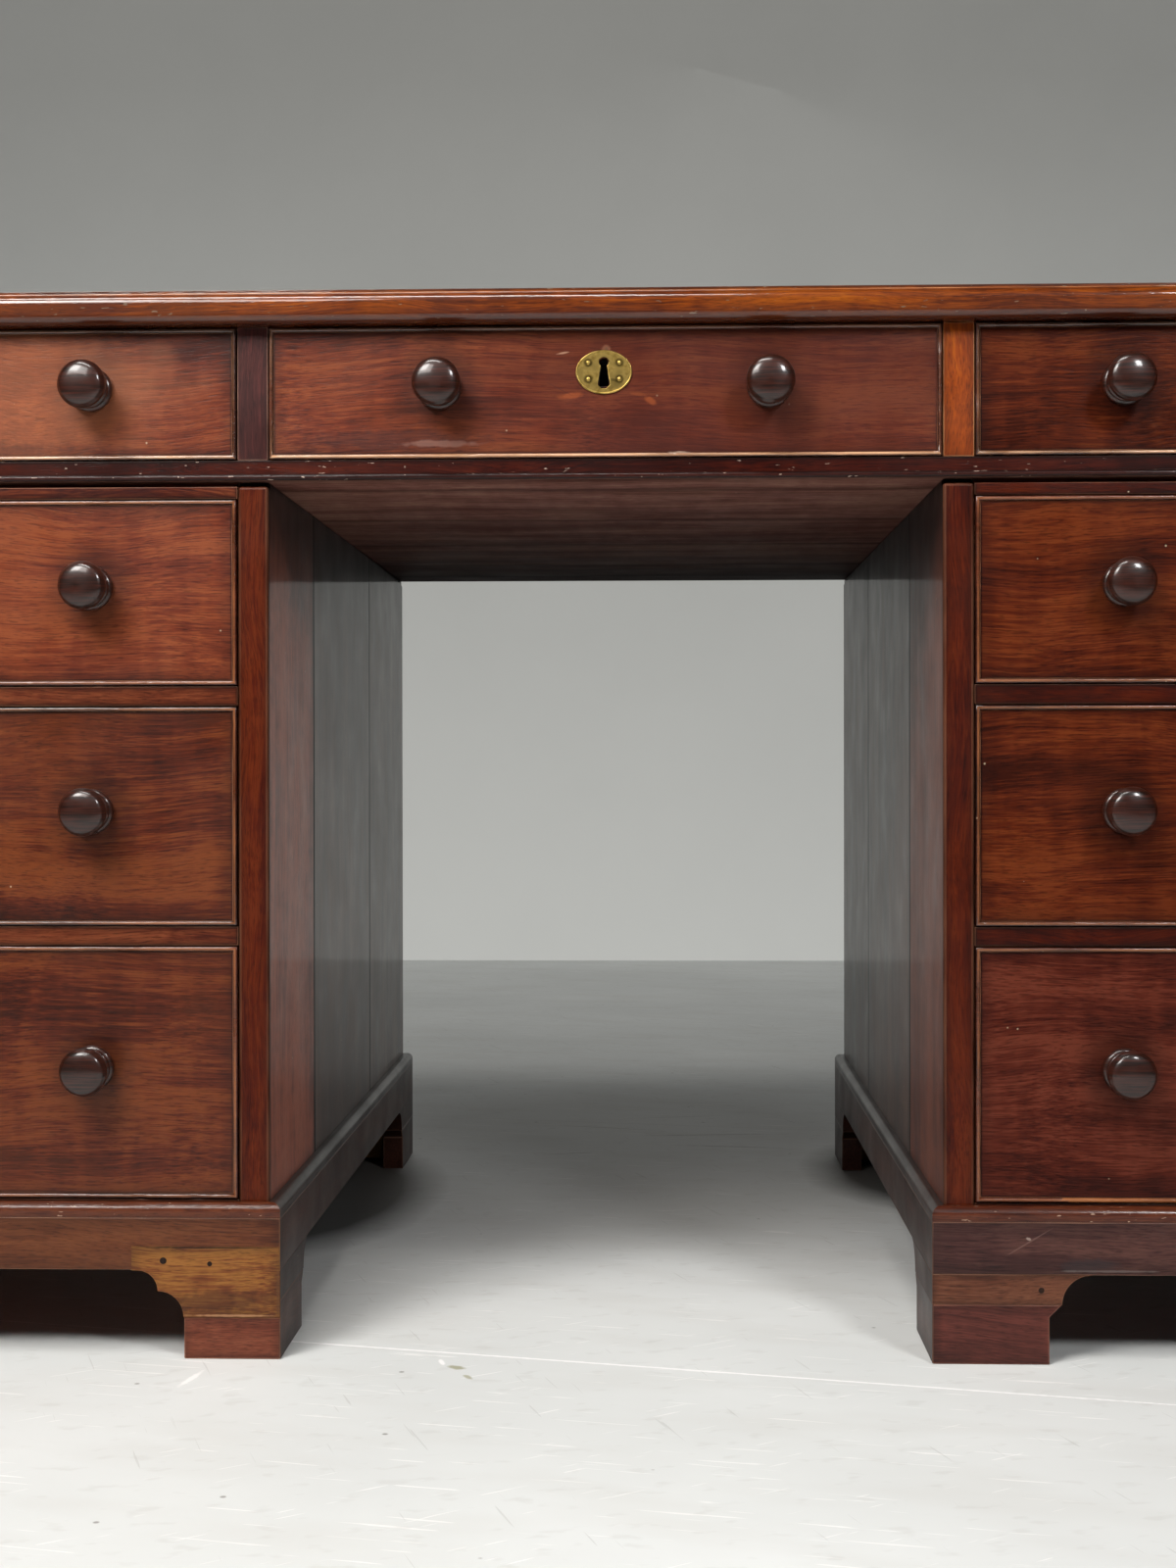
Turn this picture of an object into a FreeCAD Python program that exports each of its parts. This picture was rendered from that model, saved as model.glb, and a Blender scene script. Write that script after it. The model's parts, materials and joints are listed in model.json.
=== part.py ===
"""Mahogany partners desk: a frieze of drawers under a leather-lined top, on two pedestals.

Millimetres. X runs along the desk, Y from the front working side (-Y) to the rear one (+Y), Z up.
The origin is on the floor, under the centre of the top. Both working sides carry nine drawers.
"""
import FreeCAD, Part
import Sketcher
import math
import os

doc = FreeCAD.newDocument("PartnersDesk")
Vector = FreeCAD.Vector
Rotation = FreeCAD.Rotation

# --------------------------------------------------------------------------------------------------
# Driving dimensions
# --------------------------------------------------------------------------------------------------
SIZES = {
    # the whole desk
    "desk_width": 1524.0,
    "desk_depth": 876.0,
    "desk_height": 775.0,
    "kneehole_width": 490.0,
    # top board, its moulded edge and its leather
    "top_thickness": 24.0,
    "top_overhang_end": 22.0,
    "top_overhang_front": 19.0,
    "edge_upper_round": 8.0,
    "edge_lower_round": 6.5,
    "edge_fillet": 2.0,
    "edge_fillet_inset": 5.0,
    "leather_border": 76.0,
    "leather_thickness": 1.6,
    "leather_gap": 0.3,
    # frieze, the upper carcase that holds six drawers
    "frieze_opening": 97.0,
    "frieze_rail": 15.0,
    "frieze_bead": 2.4,
    "rail_depth": 60.0,
    "soffit_board": 198.0,
    # pedestals
    "side_thickness": 22.5,
    "first_board": 210.0,
    "second_board": 347.0,
    "pedestal_top": 13.0,
    "rebate_height": 4.0,
    "rebate_depth": 8.0,
    "top_opening": 136.5,
    "upper_rail": 14.5,
    "middle_opening": 161.0,
    "lower_rail": 14.0,
    "pedestal_bottom": 12.0,
    "runner_width": 42.0,
    "dustboard": 6.0,
    "partition": 12.0,
    # plinths with bracket feet
    "plinth_height": 102.5,
    "plinth_projection": 9.3,
    "plinth_thickness": 21.0,
    "apron_clearance": 64.5,
    "cap_height": 10.5,
    "cap_round": 6.0,
    "foot_width": 84.0,
    "side_foot_width": 95.0,
    "cusp_height": 43.0,
    "lip_width": 9.0,
    "mended_foot_width": 70.5,
    "mended_cusp_height": 49.5,
    "mended_arc": 19.0,
    "glue_block": 32.0,
    "glue_block_lift": 4.0,
    # drawers
    "face_gap": 0.8,
    "runner_gap": 0.3,
    "drawer_back_gap": 8.0,
    "face_thickness": 20.0,
    "bead_width": 3.0,
    "bead_depth": 8.0,
    "bead_proud": 2.0,
    "drawer_side": 10.0,
    "side_drop": 5.0,
    "tail_length": 11.0,
    "tail_slope": 0.16,
    "bottom_panel": 6.0,
    "bottom_lift": 6.0,
    "bottom_groove": 4.0,
    "back_thickness": 9.0,
    "back_inset": 12.0,
    "back_housing": 3.0,
    "stop_width": 40.0,
    "stop_depth": 28.0,
    "stop_height": 4.0,
    "stop_spread": 110.0,
    # turned knobs
    "knob_spread": 117.5,
    "centre_knob_spread": 119.6,
    "knob_raise": 3.5,
    "knob_collar": 16.5,
    "knob_collar_height": 6.0,
    "knob_waist": 11.5,
    "knob_head": 17.5,
    "knob_crown": 12.5,
    "knob_length": 35.0,
    # locks of the two centre frieze drawers
    "plate_length": 41.0,
    "plate_height": 32.0,
    "plate_thickness": 1.4,
    "plate_raise": 14.0,
    "keyhole_radius": 3.6,
    "keyhole_throat": 2.2,
    "keyhole_flare": 3.8,
    "keyhole_raise": 6.7,
    "keyhole_drop": 17.0,
    "key_slot_depth": 6.0,
    "lock_width": 60.0,
    "lock_height": 50.0,
    "lock_depth": 10.0,
    "bolt_width": 26.0,
    "bolt_thickness": 5.0,
    "bolt_height": 16.0,
    "bolt_gap": 0.3,
    "mortise_gap": 1.0,
    "bolt_throw": 7.0,
}
KNOB_SIDES = 8          # flats round a knob, enough for its turned outline to read
PEDESTAL_TAILS = 3      # dovetails at each front corner of a pedestal drawer
FRIEZE_TAILS = 2        # and of a frieze drawer
TAIL_SHARE = 0.56       # part of the pitch that a tail's root takes

sheet = doc.addObject("Spreadsheet::Sheet", "Sizes")
for row, (alias, value) in enumerate(SIZES.items(), start=1):
    sheet.set(f"A{row}", alias)
    sheet.set(f"B{row}", str(value))
    sheet.setAlias(f"B{row}", alias)
doc.recompute()


class Measure:
    """A length with its value and the rule that ties it to the sheet."""

    def __init__(self, value, rule):
        self.value = value
        self.rule = rule

    def __add__(self, other):
        return Measure(self.value + number(other), f"({self.rule} + {rule_of(other)})")

    def __sub__(self, other):
        return Measure(self.value - number(other), f"({self.rule} - {rule_of(other)})")

    def __rsub__(self, other):
        return Measure(number(other) - self.value, f"({rule_of(other)} - {self.rule})")

    def __mul__(self, other):
        return Measure(self.value * number(other), f"({self.rule} * {rule_of(other)})")

    def __truediv__(self, other):
        return Measure(self.value / number(other), f"({self.rule} / {rule_of(other)})")

    def __neg__(self):
        return Measure(-self.value, f"(-1 * {self.rule})")

    __radd__ = __add__
    __rmul__ = __mul__


def number(length):
    """The number behind a length."""
    return length.value if isinstance(length, Measure) else float(length)


def rule_of(length):
    """The rule behind a length."""
    return length.rule if isinstance(length, Measure) else repr(float(length))


class Cells:
    """The sheet's cells as measures, such as cell.desk_width."""

    def __getattr__(self, alias):
        return Measure(SIZES[alias], "Sizes." + alias)


cell = Cells()

# --------------------------------------------------------------------------------------------------
# Places that several pieces share
# --------------------------------------------------------------------------------------------------
half_width = (cell.desk_width - cell.top_overhang_end * 2) / 2
half_depth = (cell.desk_depth - cell.top_overhang_front * 2) / 2
half_kneehole = cell.kneehole_width / 2
half_pedestal = (half_width - half_kneehole) / 2
pedestal_centre = half_kneehole + half_pedestal
half_opening = half_pedestal - cell.side_thickness
rail_back = half_depth - cell.rail_depth
drawer_length = half_depth - cell.partition / 2 - cell.drawer_back_gap

top_under = cell.desk_height - cell.top_thickness
frieze_floor = top_under - cell.frieze_opening
pedestal_head = frieze_floor - cell.frieze_rail
top_ceiling = pedestal_head - cell.pedestal_top
top_floor = top_ceiling - cell.top_opening
middle_ceiling = top_floor - cell.upper_rail
middle_floor = middle_ceiling - cell.middle_opening
bottom_ceiling = middle_floor - cell.lower_rail
bottom_floor = cell.plinth_height + cell.pedestal_bottom

LEVELS = {
    "top": (top_floor, top_ceiling),
    "middle": (middle_floor, middle_ceiling),
    "bottom": (bottom_floor, bottom_ceiling),
}
COLUMNS = {"left": -1, "right": 1}
WORKING_SIDES = {"front": -1, "rear": 1}
nodes = {}


# --------------------------------------------------------------------------------------------------
# Small tools
# --------------------------------------------------------------------------------------------------
def bind(item, **lengths):
    """Set each property, tied to the sheet where it is a measure."""
    for name, length in lengths.items():
        if isinstance(length, Measure):
            item.setExpression(name, length.rule)
        else:
            setattr(item, name, length)


def place(item, x=0.0, y=0.0, z=0.0, turn=None):
    """Turn an item about its own origin and put that origin at x, y, z."""
    start = Vector(number(x), number(y), number(z))
    item.Placement = FreeCAD.Placement(start, turn or Rotation())
    for axis, length in (("x", x), ("y", y), ("z", z)):
        if isinstance(length, Measure):
            item.setExpression("Placement.Base." + axis, length.rule)
    return item


def board(name, x, y, z):
    """A plain board from a low to a high value on each axis."""
    box = doc.addObject("Part::Box", name)
    bind(box, Length=x[1] - x[0], Width=y[1] - y[0], Height=z[1] - z[0])
    return place(box, x[0], y[0], z[0])


def across(half):
    """The span that reaches as far to one side of the origin as to the other."""
    return -half, half


def on_side(sign, low, high):
    """A span on the positive side, or its mirror image on the negative one."""
    return (low, high) if sign > 0 else (-high, -low)


def group(name, parts):
    """Separate solids under one name."""
    result = doc.addObject("Part::Compound", name)
    result.Links = list(parts)
    return result


def fuse(name, parts):
    """Several solids glued into one."""
    result = doc.addObject("Part::MultiFuse", name)
    result.Shapes = list(parts)
    result.Refine = True
    return result


def cut(name, base, tools):
    """A shape with the tools cut out of it."""
    result = doc.addObject("Part::Cut", name)
    result.Base = base
    result.Tool = group(name + "_tools", tools)
    return result


def common(name, base, tool):
    """What two shapes share."""
    result = doc.addObject("Part::Common", name)
    result.Base = base
    result.Tool = tool
    return result


def node(name, parts):
    """A piece of the desk, or a set of like pieces, that gets a file of its own."""
    nodes[name] = group(name, parts)
    nodes[name].Label = name
    return nodes[name]


def turned(x, y, quarter):
    """A point turned about the origin by quarter turns, anticlockwise from above."""
    return ((x, y), (-y, x), (-x, -y), (y, -x))[quarter % 4]


def mitred_frame(name, half_x, half_y, thickness, z, centre=(0.0, 0.0)):
    """Four strips round a rectangle, mitred together: at -Y, +X, +Y and -X in turn."""
    strips = []
    for quarter in range(4):
        half_length, reach = (half_x, half_y) if quarter % 2 == 0 else (half_y, half_x)
        strip = doc.addObject("Part::Wedge", f"{name}_{quarter}")
        bind(strip, Ymin=-reach, Ymax=thickness - reach)
        bind(strip, Xmin=-half_length, Xmax=half_length)
        bind(strip, X2min=thickness - half_length, X2max=half_length - thickness)
        bind(strip, Zmin=z[0], Zmax=z[1], Z2min=z[0], Z2max=z[1])
        strips.append(place(strip, centre[0], centre[1], 0.0, Rotation(Vector(0, 0, 1), quarter * 90)))
    return strips


def outline(name, loops, body=None):
    """A sketch of closed loops through corners that are tied to the sheet.

    A corner is (x, y) or (x, y, radius). A radius makes the run to the next corner a quarter
    circle that is hollow towards the lower right.
    """
    maker = body.newObject if body else doc.addObject
    sketch = maker("Sketcher::SketchObject", name)
    for corners in loops:
        first = sketch.GeometryCount
        points = [Vector(number(corner[0]), number(corner[1]), 0) for corner in corners]
        for index, (corner, start) in enumerate(zip(corners, points)):
            end = points[(index + 1) % len(points)]
            if len(corner) == 2:
                sketch.addGeometry(Part.LineSegment(start, end), False)
            else:
                middle = Vector(end.x, start.y, 0) + Vector(-1, 1, 0).normalize() * number(corner[2])
                sketch.addGeometry(Part.Arc(start, middle, end), False)
        for index, (corner, start) in enumerate(zip(corners, points)):
            ends = []
            for line in (first + (index - 1) % len(points), first + index):
                at_start = (sketch.getPoint(line, 1) - start).Length < 1e-6
                ends += [line, 1 if at_start else 2]
            sketch.addConstraint(Sketcher.Constraint("Coincident", *ends))
            for kind, length in (("DistanceX", corner[0]), ("DistanceY", corner[1])):
                fix_length(sketch, Sketcher.Constraint(kind, -1, 1, *ends[2:], number(length)), length)
            if len(corner) == 3:
                radius = corner[2]
                fix_length(sketch, Sketcher.Constraint("Radius", first + index, number(radius)), radius)
    return sketch


def fix_length(sketch, constraint, length):
    """Add a dimension to a sketch and tie it to the sheet."""
    index = sketch.addConstraint(constraint)
    if isinstance(length, Measure):
        sketch.setExpression(f"Constraints[{index}]", length.rule)


def rectangle(half_x, half_y):
    """The corners of a rectangle about the origin."""
    return [(-half_x, -half_y), (half_x, -half_y), (half_x, half_y), (-half_x, half_y)]


def lay_on_floor_plane(sketch, body, height):
    """Attach a body's sketch to its own XY plane, at a height."""
    plane = next(item for item in body.Origin.OriginFeatures if item.Role == "XY_Plane")
    sketch.AttachmentSupport = (plane, "")
    sketch.MapMode = "FlatFace"
    sketch.setExpression("AttachmentOffset.Base.z", rule_of(height))


def outer_edges(shape, height, half_x, half_y):
    """Names of the edges at one height that run along the outside of a rectangle."""
    names = []
    for index, edge in enumerate(shape.Edges, start=1):
        middle = edge.CenterOfMass
        outside = abs(abs(middle.x) - number(half_x)) < 0.01 or abs(abs(middle.y) - number(half_y)) < 0.01
        if abs(middle.z - number(height)) < 0.01 and outside:
            names.append(f"Edge{index}")
    return names


def pad(body, name, loops, low, height):
    """A sketch at one level of a body, padded upwards."""
    sketch = outline(name + "_sketch", loops, body)
    lay_on_floor_plane(sketch, body, low)
    result = body.newObject("PartDesign::Pad", name)
    result.Profile = sketch
    bind(result, Length=height)
    doc.recompute()
    return result


def round_over(body, name, base, height, half_x, half_y, radius):
    """Round the outer edges of a body at one height."""
    result = body.newObject("PartDesign::Fillet", name)
    result.Base = (base, outer_edges(base.Shape, height, half_x, half_y))
    bind(result, Radius=radius)
    doc.recompute()
    return result


# --------------------------------------------------------------------------------------------------
# Top: one board with a moulded edge, hollowed for the leather and for the lock bolts
# --------------------------------------------------------------------------------------------------
def top_board():
    half_x = cell.desk_width / 2
    half_y = cell.desk_depth / 2
    slab_top = cell.desk_height - cell.edge_fillet
    body = doc.addObject("PartDesign::Body", "top_slab")
    slab = pad(body, "slab", [rectangle(half_x, half_y)], top_under, slab_top - top_under)
    upper = round_over(body, "upper_round", slab, slab_top, half_x, half_y, cell.edge_upper_round)
    round_over(body, "lower_round", upper, top_under, half_x, half_y, cell.edge_lower_round)
    inset = cell.edge_fillet_inset
    field = [rectangle(half_x - inset, half_y - inset)]
    depth = cell.edge_upper_round
    pad(body, "fillet_step", field, slab_top - depth, depth + cell.edge_fillet)
    leather_x = half_x - cell.leather_border
    leather_y = half_y - cell.leather_border
    bed = cell.desk_height - cell.leather_thickness
    recess = board("leather_recess", across(leather_x), across(leather_y), (bed, cell.desk_height))
    mortises = [bolt_mortise(side) for side in WORKING_SIDES]
    node("top_board", [cut("top_cut", body, [recess] + mortises)])
    leather = board(
        "leather",
        across(leather_x - cell.leather_gap),
        across(leather_y - cell.leather_gap),
        (bed, cell.desk_height),
    )
    node("leather_inset", [leather])


def bolt_mortise(side):
    """The slot in the underside of the top that a lock bolt shoots into."""
    middle = half_depth - cell.face_thickness + cell.lock_depth / 2
    half = cell.bolt_thickness / 2 + cell.mortise_gap
    y = on_side(WORKING_SIDES[side], middle - half, middle + half)
    x = across(cell.bolt_width / 2 + cell.mortise_gap)
    return board(side + "_mortise", x, y, (top_under, top_under + cell.bolt_throw + cell.mortise_gap))


# --------------------------------------------------------------------------------------------------
# Frieze: ends, dividers, rails with a bead, bottom boards and the partition between back-to-back
# drawers
# --------------------------------------------------------------------------------------------------
def frieze():
    height = (pedestal_head, top_under)
    above_rail = (frieze_floor, top_under)
    rail_height = (pedestal_head, frieze_floor)
    inside = half_width - cell.side_thickness
    ends = []
    dividers = []
    for column, sign in COLUMNS.items():
        end = on_side(sign, inside, half_width)
        ends.append(board(column + "_frieze_end", end, across(half_depth), height))
        divider = on_side(sign, half_kneehole, half_kneehole + cell.side_thickness)
        dividers.append(board(column + "_divider", divider, across(half_depth), above_rail))
    node("frieze_ends", ends)

    rails = [
        board(side + "_frieze_rail", across(inside), on_side(sign, rail_back, half_depth), rail_height)
        for side, sign in WORKING_SIDES.items()
    ]
    node("frieze_rails", rails + [frieze_bead(quarter) for quarter in range(4)])

    joints = [-rail_back + cell.soffit_board * count for count in range(4)] + [rail_back]
    boards = [
        board(f"bottom_board_{index}", across(inside), (low, high), rail_height)
        for index, (low, high) in enumerate(zip(joints, joints[1:]))
    ]
    node("frieze_bottom_boards", boards)

    middle = across(cell.partition / 2)
    bays = {
        "left": (-inside, -half_kneehole - cell.side_thickness),
        "centre": across(half_kneehole),
        "right": (half_kneehole + cell.side_thickness, inside),
    }
    dividers += [board(f"{bay}_frieze_partition", x, middle, above_rail) for bay, x in bays.items()]
    node("frieze_dividers", dividers)


def frieze_bead(quarter):
    """A half-round bead planted along the foot of one face of the frieze."""
    bead = doc.addObject("Part::Cylinder", f"frieze_bead_{quarter}")
    along_front = quarter % 2 == 0
    half_length = half_width + cell.frieze_bead if along_front else half_depth
    reach = half_depth if along_front else half_width
    bind(bead, Radius=cell.frieze_bead, Height=half_length * 2, Angle=180.0)
    lying = Rotation(Vector(0, 0, 1), Vector(0, -1, 0), Vector(1, 0, 0), "ZYX")
    x, y = turned(-half_length, -reach, quarter)
    turn = Rotation(Vector(0, 0, 1), quarter * 90).multiply(lying)
    return place(bead, x, y, pedestal_head + cell.frieze_bead, turn)


# --------------------------------------------------------------------------------------------------
# Pedestals: boarded sides, a frame of rails and runners, dustboards and partitions
# --------------------------------------------------------------------------------------------------
def pedestal(column):
    sign = COLUMNS[column]
    inner = half_kneehole
    outer = half_width
    inside = on_side(sign, inner + cell.side_thickness, outer - cell.side_thickness)
    height = (cell.plinth_height, pedestal_head)

    joints = [-half_depth, cell.first_board - half_depth]
    joints += [joints[1] + cell.second_board, half_depth]
    for wall, low in (("inner", inner), ("outer", outer - cell.side_thickness)):
        x = on_side(sign, low, low + cell.side_thickness)
        boards = [
            board(f"{column}_{wall}_board_{index}", x, (front, rear), height)
            for index, (front, rear) in enumerate(zip(joints, joints[1:]))
        ]
        for end, side in ((0, "front"), (2, "rear")):
            rebate = top_rebate(f"{column}_{wall}_{side}_rebate", x, WORKING_SIDES[side])
            boards[end] = cut(f"{column}_{wall}_{side}_board", boards[end], [rebate])
        node(f"{column}_{wall}_side", boards)

    top = board(column + "_top_board", inside, across(half_depth), (top_ceiling, pedestal_head))
    rebates = [
        top_rebate(f"{column}_{side}_rebate", inside, WORKING_SIDES[side]) for side in WORKING_SIDES
    ]
    bottom_height = (cell.plinth_height, bottom_floor)
    frame = [
        cut(column + "_top", top, rebates),
        board(column + "_bottom_board", inside, across(half_depth), bottom_height),
    ]
    panels = []
    for rail, z in (("upper", (middle_ceiling, top_floor)), ("lower", (bottom_ceiling, middle_floor))):
        for side, way in WORKING_SIDES.items():
            y = on_side(way, rail_back, half_depth)
            frame.append(board(f"{column}_{side}_{rail}_rail", inside, y, z))
        near = (inside[0], inside[0] + cell.runner_width)
        far = (inside[1] - cell.runner_width, inside[1])
        for wall, x in (("near", near), ("far", far)):
            frame.append(board(f"{column}_{wall}_{rail}_runner", x, across(rail_back), z))
        middle = (z[0] + z[1]) / 2
        dust = (middle - cell.dustboard / 2, middle + cell.dustboard / 2)
        panels.append(board(f"{column}_{rail}_dustboard", (near[1], far[0]), across(rail_back), dust))
    for level, z in LEVELS.items():
        panels.append(board(f"{column}_{level}_partition", inside, across(cell.partition / 2), z))
    node(column + "_frame", frame)
    node(column + "_dustboards", panels)


def top_rebate(name, x, sign):
    """The shadow line cut along the upper front edge of a pedestal."""
    y = on_side(sign, half_depth - cell.rebate_depth, half_depth)
    return board(name, x, y, (pedestal_head - cell.rebate_height, pedestal_head))


# --------------------------------------------------------------------------------------------------
# Plinths: a mitred frame under each pedestal, with a rounded cap, sawn brackets and foot tips
# --------------------------------------------------------------------------------------------------
half_plinth = half_pedestal + cell.plinth_projection
half_plinth_depth = half_depth + cell.plinth_projection


def sound_foot(width):
    """Outlines of a foot's tip and of the bracket above it, parted at the cusp."""
    cusp = cell.cusp_height
    lip = width + cell.lip_width
    sweep = cell.apron_clearance - cusp
    tip = [(0.0, 0.0), (width, 0.0), (width, cusp - cell.lip_width), (lip, cusp), (0.0, cusp)]
    bracket = [
        (0.0, cusp),
        (lip, cusp, sweep),
        (lip + sweep, cell.apron_clearance),
        (0.0, cell.apron_clearance),
    ]
    return tip, bracket


def mended_foot():
    """The same for the narrower foot at the kneehole, whose bracket was renewed down to its tip."""
    width = cell.mended_foot_width
    cusp = cell.mended_cusp_height
    foot = cusp - cell.mended_arc
    lip = width + cell.mended_arc
    sweep = cell.apron_clearance - cusp
    tip = [(0.0, 0.0), (width, 0.0), (width, foot), (0.0, foot)]
    bracket = [
        (0.0, foot),
        (width, foot, cell.mended_arc),
        (lip, cusp, sweep),
        (lip + sweep, cell.apron_clearance),
        (0.0, cell.apron_clearance),
    ]
    return tip, bracket


def foot_slab(name, corners, centre, quarter, end):
    """One sawn slab of a foot, on the side of the plinth that a quarter turn gives."""
    half_length = half_plinth if quarter % 2 == 0 else half_plinth_depth
    reach = half_plinth_depth if quarter % 2 == 0 else half_plinth
    slab = doc.addObject("Part::Extrusion", name)
    slab.Base = outline(name + "_outline", [corners])
    slab.DirMode = "Normal"
    slab.Solid = True
    bind(slab, LengthFwd=cell.plinth_thickness)
    upright = Rotation(Vector(1, 0, 0), 90)
    turn = Rotation(Vector(0, 0, 1), quarter * 90 + (0 if end < 0 else 180)).multiply(upright)
    face = cell.plinth_thickness - reach if end < 0 else -reach
    x, y = turned(half_length * end, face, quarter)
    place(slab.Base, centre + x, y, 0.0, turn)
    return slab


def plinth(column):
    """The plinth's rails and brackets; gives back its cap strips, foot tips and glue blocks."""
    centre = pedestal_centre * COLUMNS[column]
    size = (half_plinth, half_plinth_depth, cell.plinth_thickness)
    middle = (centre, 0.0)
    rails = mitred_frame(column + "_rail", *size, (cell.apron_clearance, cell.plinth_height), middle)
    mitres = mitred_frame(column + "_mitre", *size, (0.0, cell.apron_clearance), middle)
    tips = []
    brackets = []
    for quarter, mitre in enumerate(mitres):
        slabs = {"tip": [], "bracket": []}
        for end in (-1, 1):
            width = cell.foot_width if quarter % 2 == 0 else cell.side_foot_width
            is_mended = (column, quarter, end) == ("left", 0, 1)
            shapes = mended_foot() if is_mended else sound_foot(width)
            for kind, corners in zip(slabs, shapes):
                name = f"{column}_{kind}_{quarter}_{'low' if end < 0 else 'high'}"
                slabs[kind].append(foot_slab(name, corners, centre, quarter, end))
        for kind, made in (("tip", tips), ("bracket", brackets)):
            pair = group(f"{column}_{kind}s_{quarter}", slabs[kind])
            made.append(common(f"{column}_mitred_{kind}s_{quarter}", pair, mitre))
    node(column + "_plinth", rails + brackets)

    top = cell.plinth_height + cell.cap_height
    body = doc.addObject("PartDesign::Body", column + "_cap_ring")
    ring = [rectangle(half_plinth, half_plinth_depth), rectangle(half_pedestal, half_depth)]
    cap = pad(body, column + "_cap", ring, cell.plinth_height, cell.cap_height)
    round_over(body, column + "_cap_round", cap, top, half_plinth, half_plinth_depth, cell.cap_round)
    place(body, centre)
    size = (half_plinth, half_plinth_depth, cell.plinth_projection)
    parts = mitred_frame(column + "_cap_mitre", *size, (cell.plinth_height, top), middle)
    caps = [common(f"{column}_cap_{quarter}", body, part) for quarter, part in enumerate(parts)]

    inner_x = half_plinth - cell.plinth_thickness
    inner_y = half_plinth_depth - cell.plinth_thickness
    height = (cell.glue_block_lift, cell.plinth_height)
    blocks = []
    for wall, way in (("left", -1), ("right", 1)):
        for side, sign in WORKING_SIDES.items():
            x = on_side(way, inner_x - cell.glue_block, inner_x)
            y = on_side(sign, inner_y - cell.glue_block, inner_y)
            name = f"{column}_{wall}_{side}_block"
            blocks.append(board(name, (centre + x[0], centre + x[1]), y, height))
    return caps, tips, blocks


# --------------------------------------------------------------------------------------------------
# Knobs: turned heads on a waist above a collar, drawn as flats between five rings
# --------------------------------------------------------------------------------------------------
def turned_knob():
    length = SIZES["knob_length"]
    rings = [
        (0.0, SIZES["knob_collar"]),
        (SIZES["knob_collar_height"], SIZES["knob_collar"]),
        (length * 0.42, SIZES["knob_waist"]),
        (length * 0.77, SIZES["knob_head"]),
        (length, SIZES["knob_crown"]),
    ]
    loops = []
    for height, radius in rings:
        turns = [math.tau * side / KNOB_SIDES for side in range(KNOB_SIDES)]
        loops.append([Vector(radius * math.cos(a), radius * math.sin(a), height) for a in turns])
    faces = [Part.Face(Part.makePolygon(loop + loop[:1])) for loop in (loops[0], loops[-1])]
    for low, high in zip(loops, loops[1:]):
        for side in range(KNOB_SIDES):
            after = (side + 1) % KNOB_SIDES
            flat = [low[side], low[after], high[after], high[side], low[side]]
            faces.append(Part.Face(Part.makePolygon(flat)))
    knob = doc.addObject("Part::Feature", "turned_knob")
    knob.Shape = Part.Solid(Part.Shell(faces))
    return knob


# --------------------------------------------------------------------------------------------------
# Drawers. Each is drawn with its face at y = 0 and its opening's floor at z = 0, running back
# along +Y, and then put in its opening. Its front corners are lapped dovetails.
# --------------------------------------------------------------------------------------------------
OUTWARDS = Rotation(Vector(1, 0, 0), 90)    # turns a drawing's X, Y and height to X, Z and -Y


def dovetails(name, sign, half_face, z, count):
    """The tails of one drawer side, which also shape their sockets in the face."""
    shoulder = cell.face_thickness
    pitch = (z[1] - z[0]) / count
    root = pitch * (TAIL_SHARE / 2)
    tip = root + cell.tail_length * cell.tail_slope
    x = on_side(sign, half_face - cell.drawer_side, half_face)
    tails = []
    for index in range(count):
        middle = z[0] + pitch * (index + 0.5)
        tail = doc.addObject("Part::Wedge", f"{name}_tail_{index}")
        bind(tail, Xmin=x[0], Xmax=x[1], X2min=x[0], X2max=x[1])
        bind(tail, Ymin=shoulder - cell.tail_length, Ymax=shoulder)
        bind(tail, Zmin=middle - tip, Zmax=middle + tip, Z2min=middle - root, Z2max=middle + root)
        tails.append(tail)
    return tails


def keyhole(name, middle):
    """The round and its flared slot, through the plate and the wood before the lock case."""
    depth = (cell.lock_depth - cell.face_thickness, cell.plate_thickness * 2)
    centre = middle + cell.keyhole_raise
    hole = doc.addObject("Part::Cylinder", name + "_round")
    bind(hole, Radius=cell.keyhole_radius, Height=depth[1] - depth[0])
    place(hole, 0.0, centre, depth[0])
    slot = doc.addObject("Part::Wedge", name + "_slot")
    bind(slot, Ymin=centre - cell.keyhole_drop, Ymax=centre)
    bind(slot, Xmin=-cell.keyhole_flare, Xmax=cell.keyhole_flare)
    bind(slot, X2min=-cell.keyhole_throat, X2max=cell.keyhole_throat)
    bind(slot, Zmin=depth[0], Zmax=depth[1], Z2min=depth[0], Z2max=depth[1])
    return place(fuse(name, [hole, slot]), turn=OUTWARDS)


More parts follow.
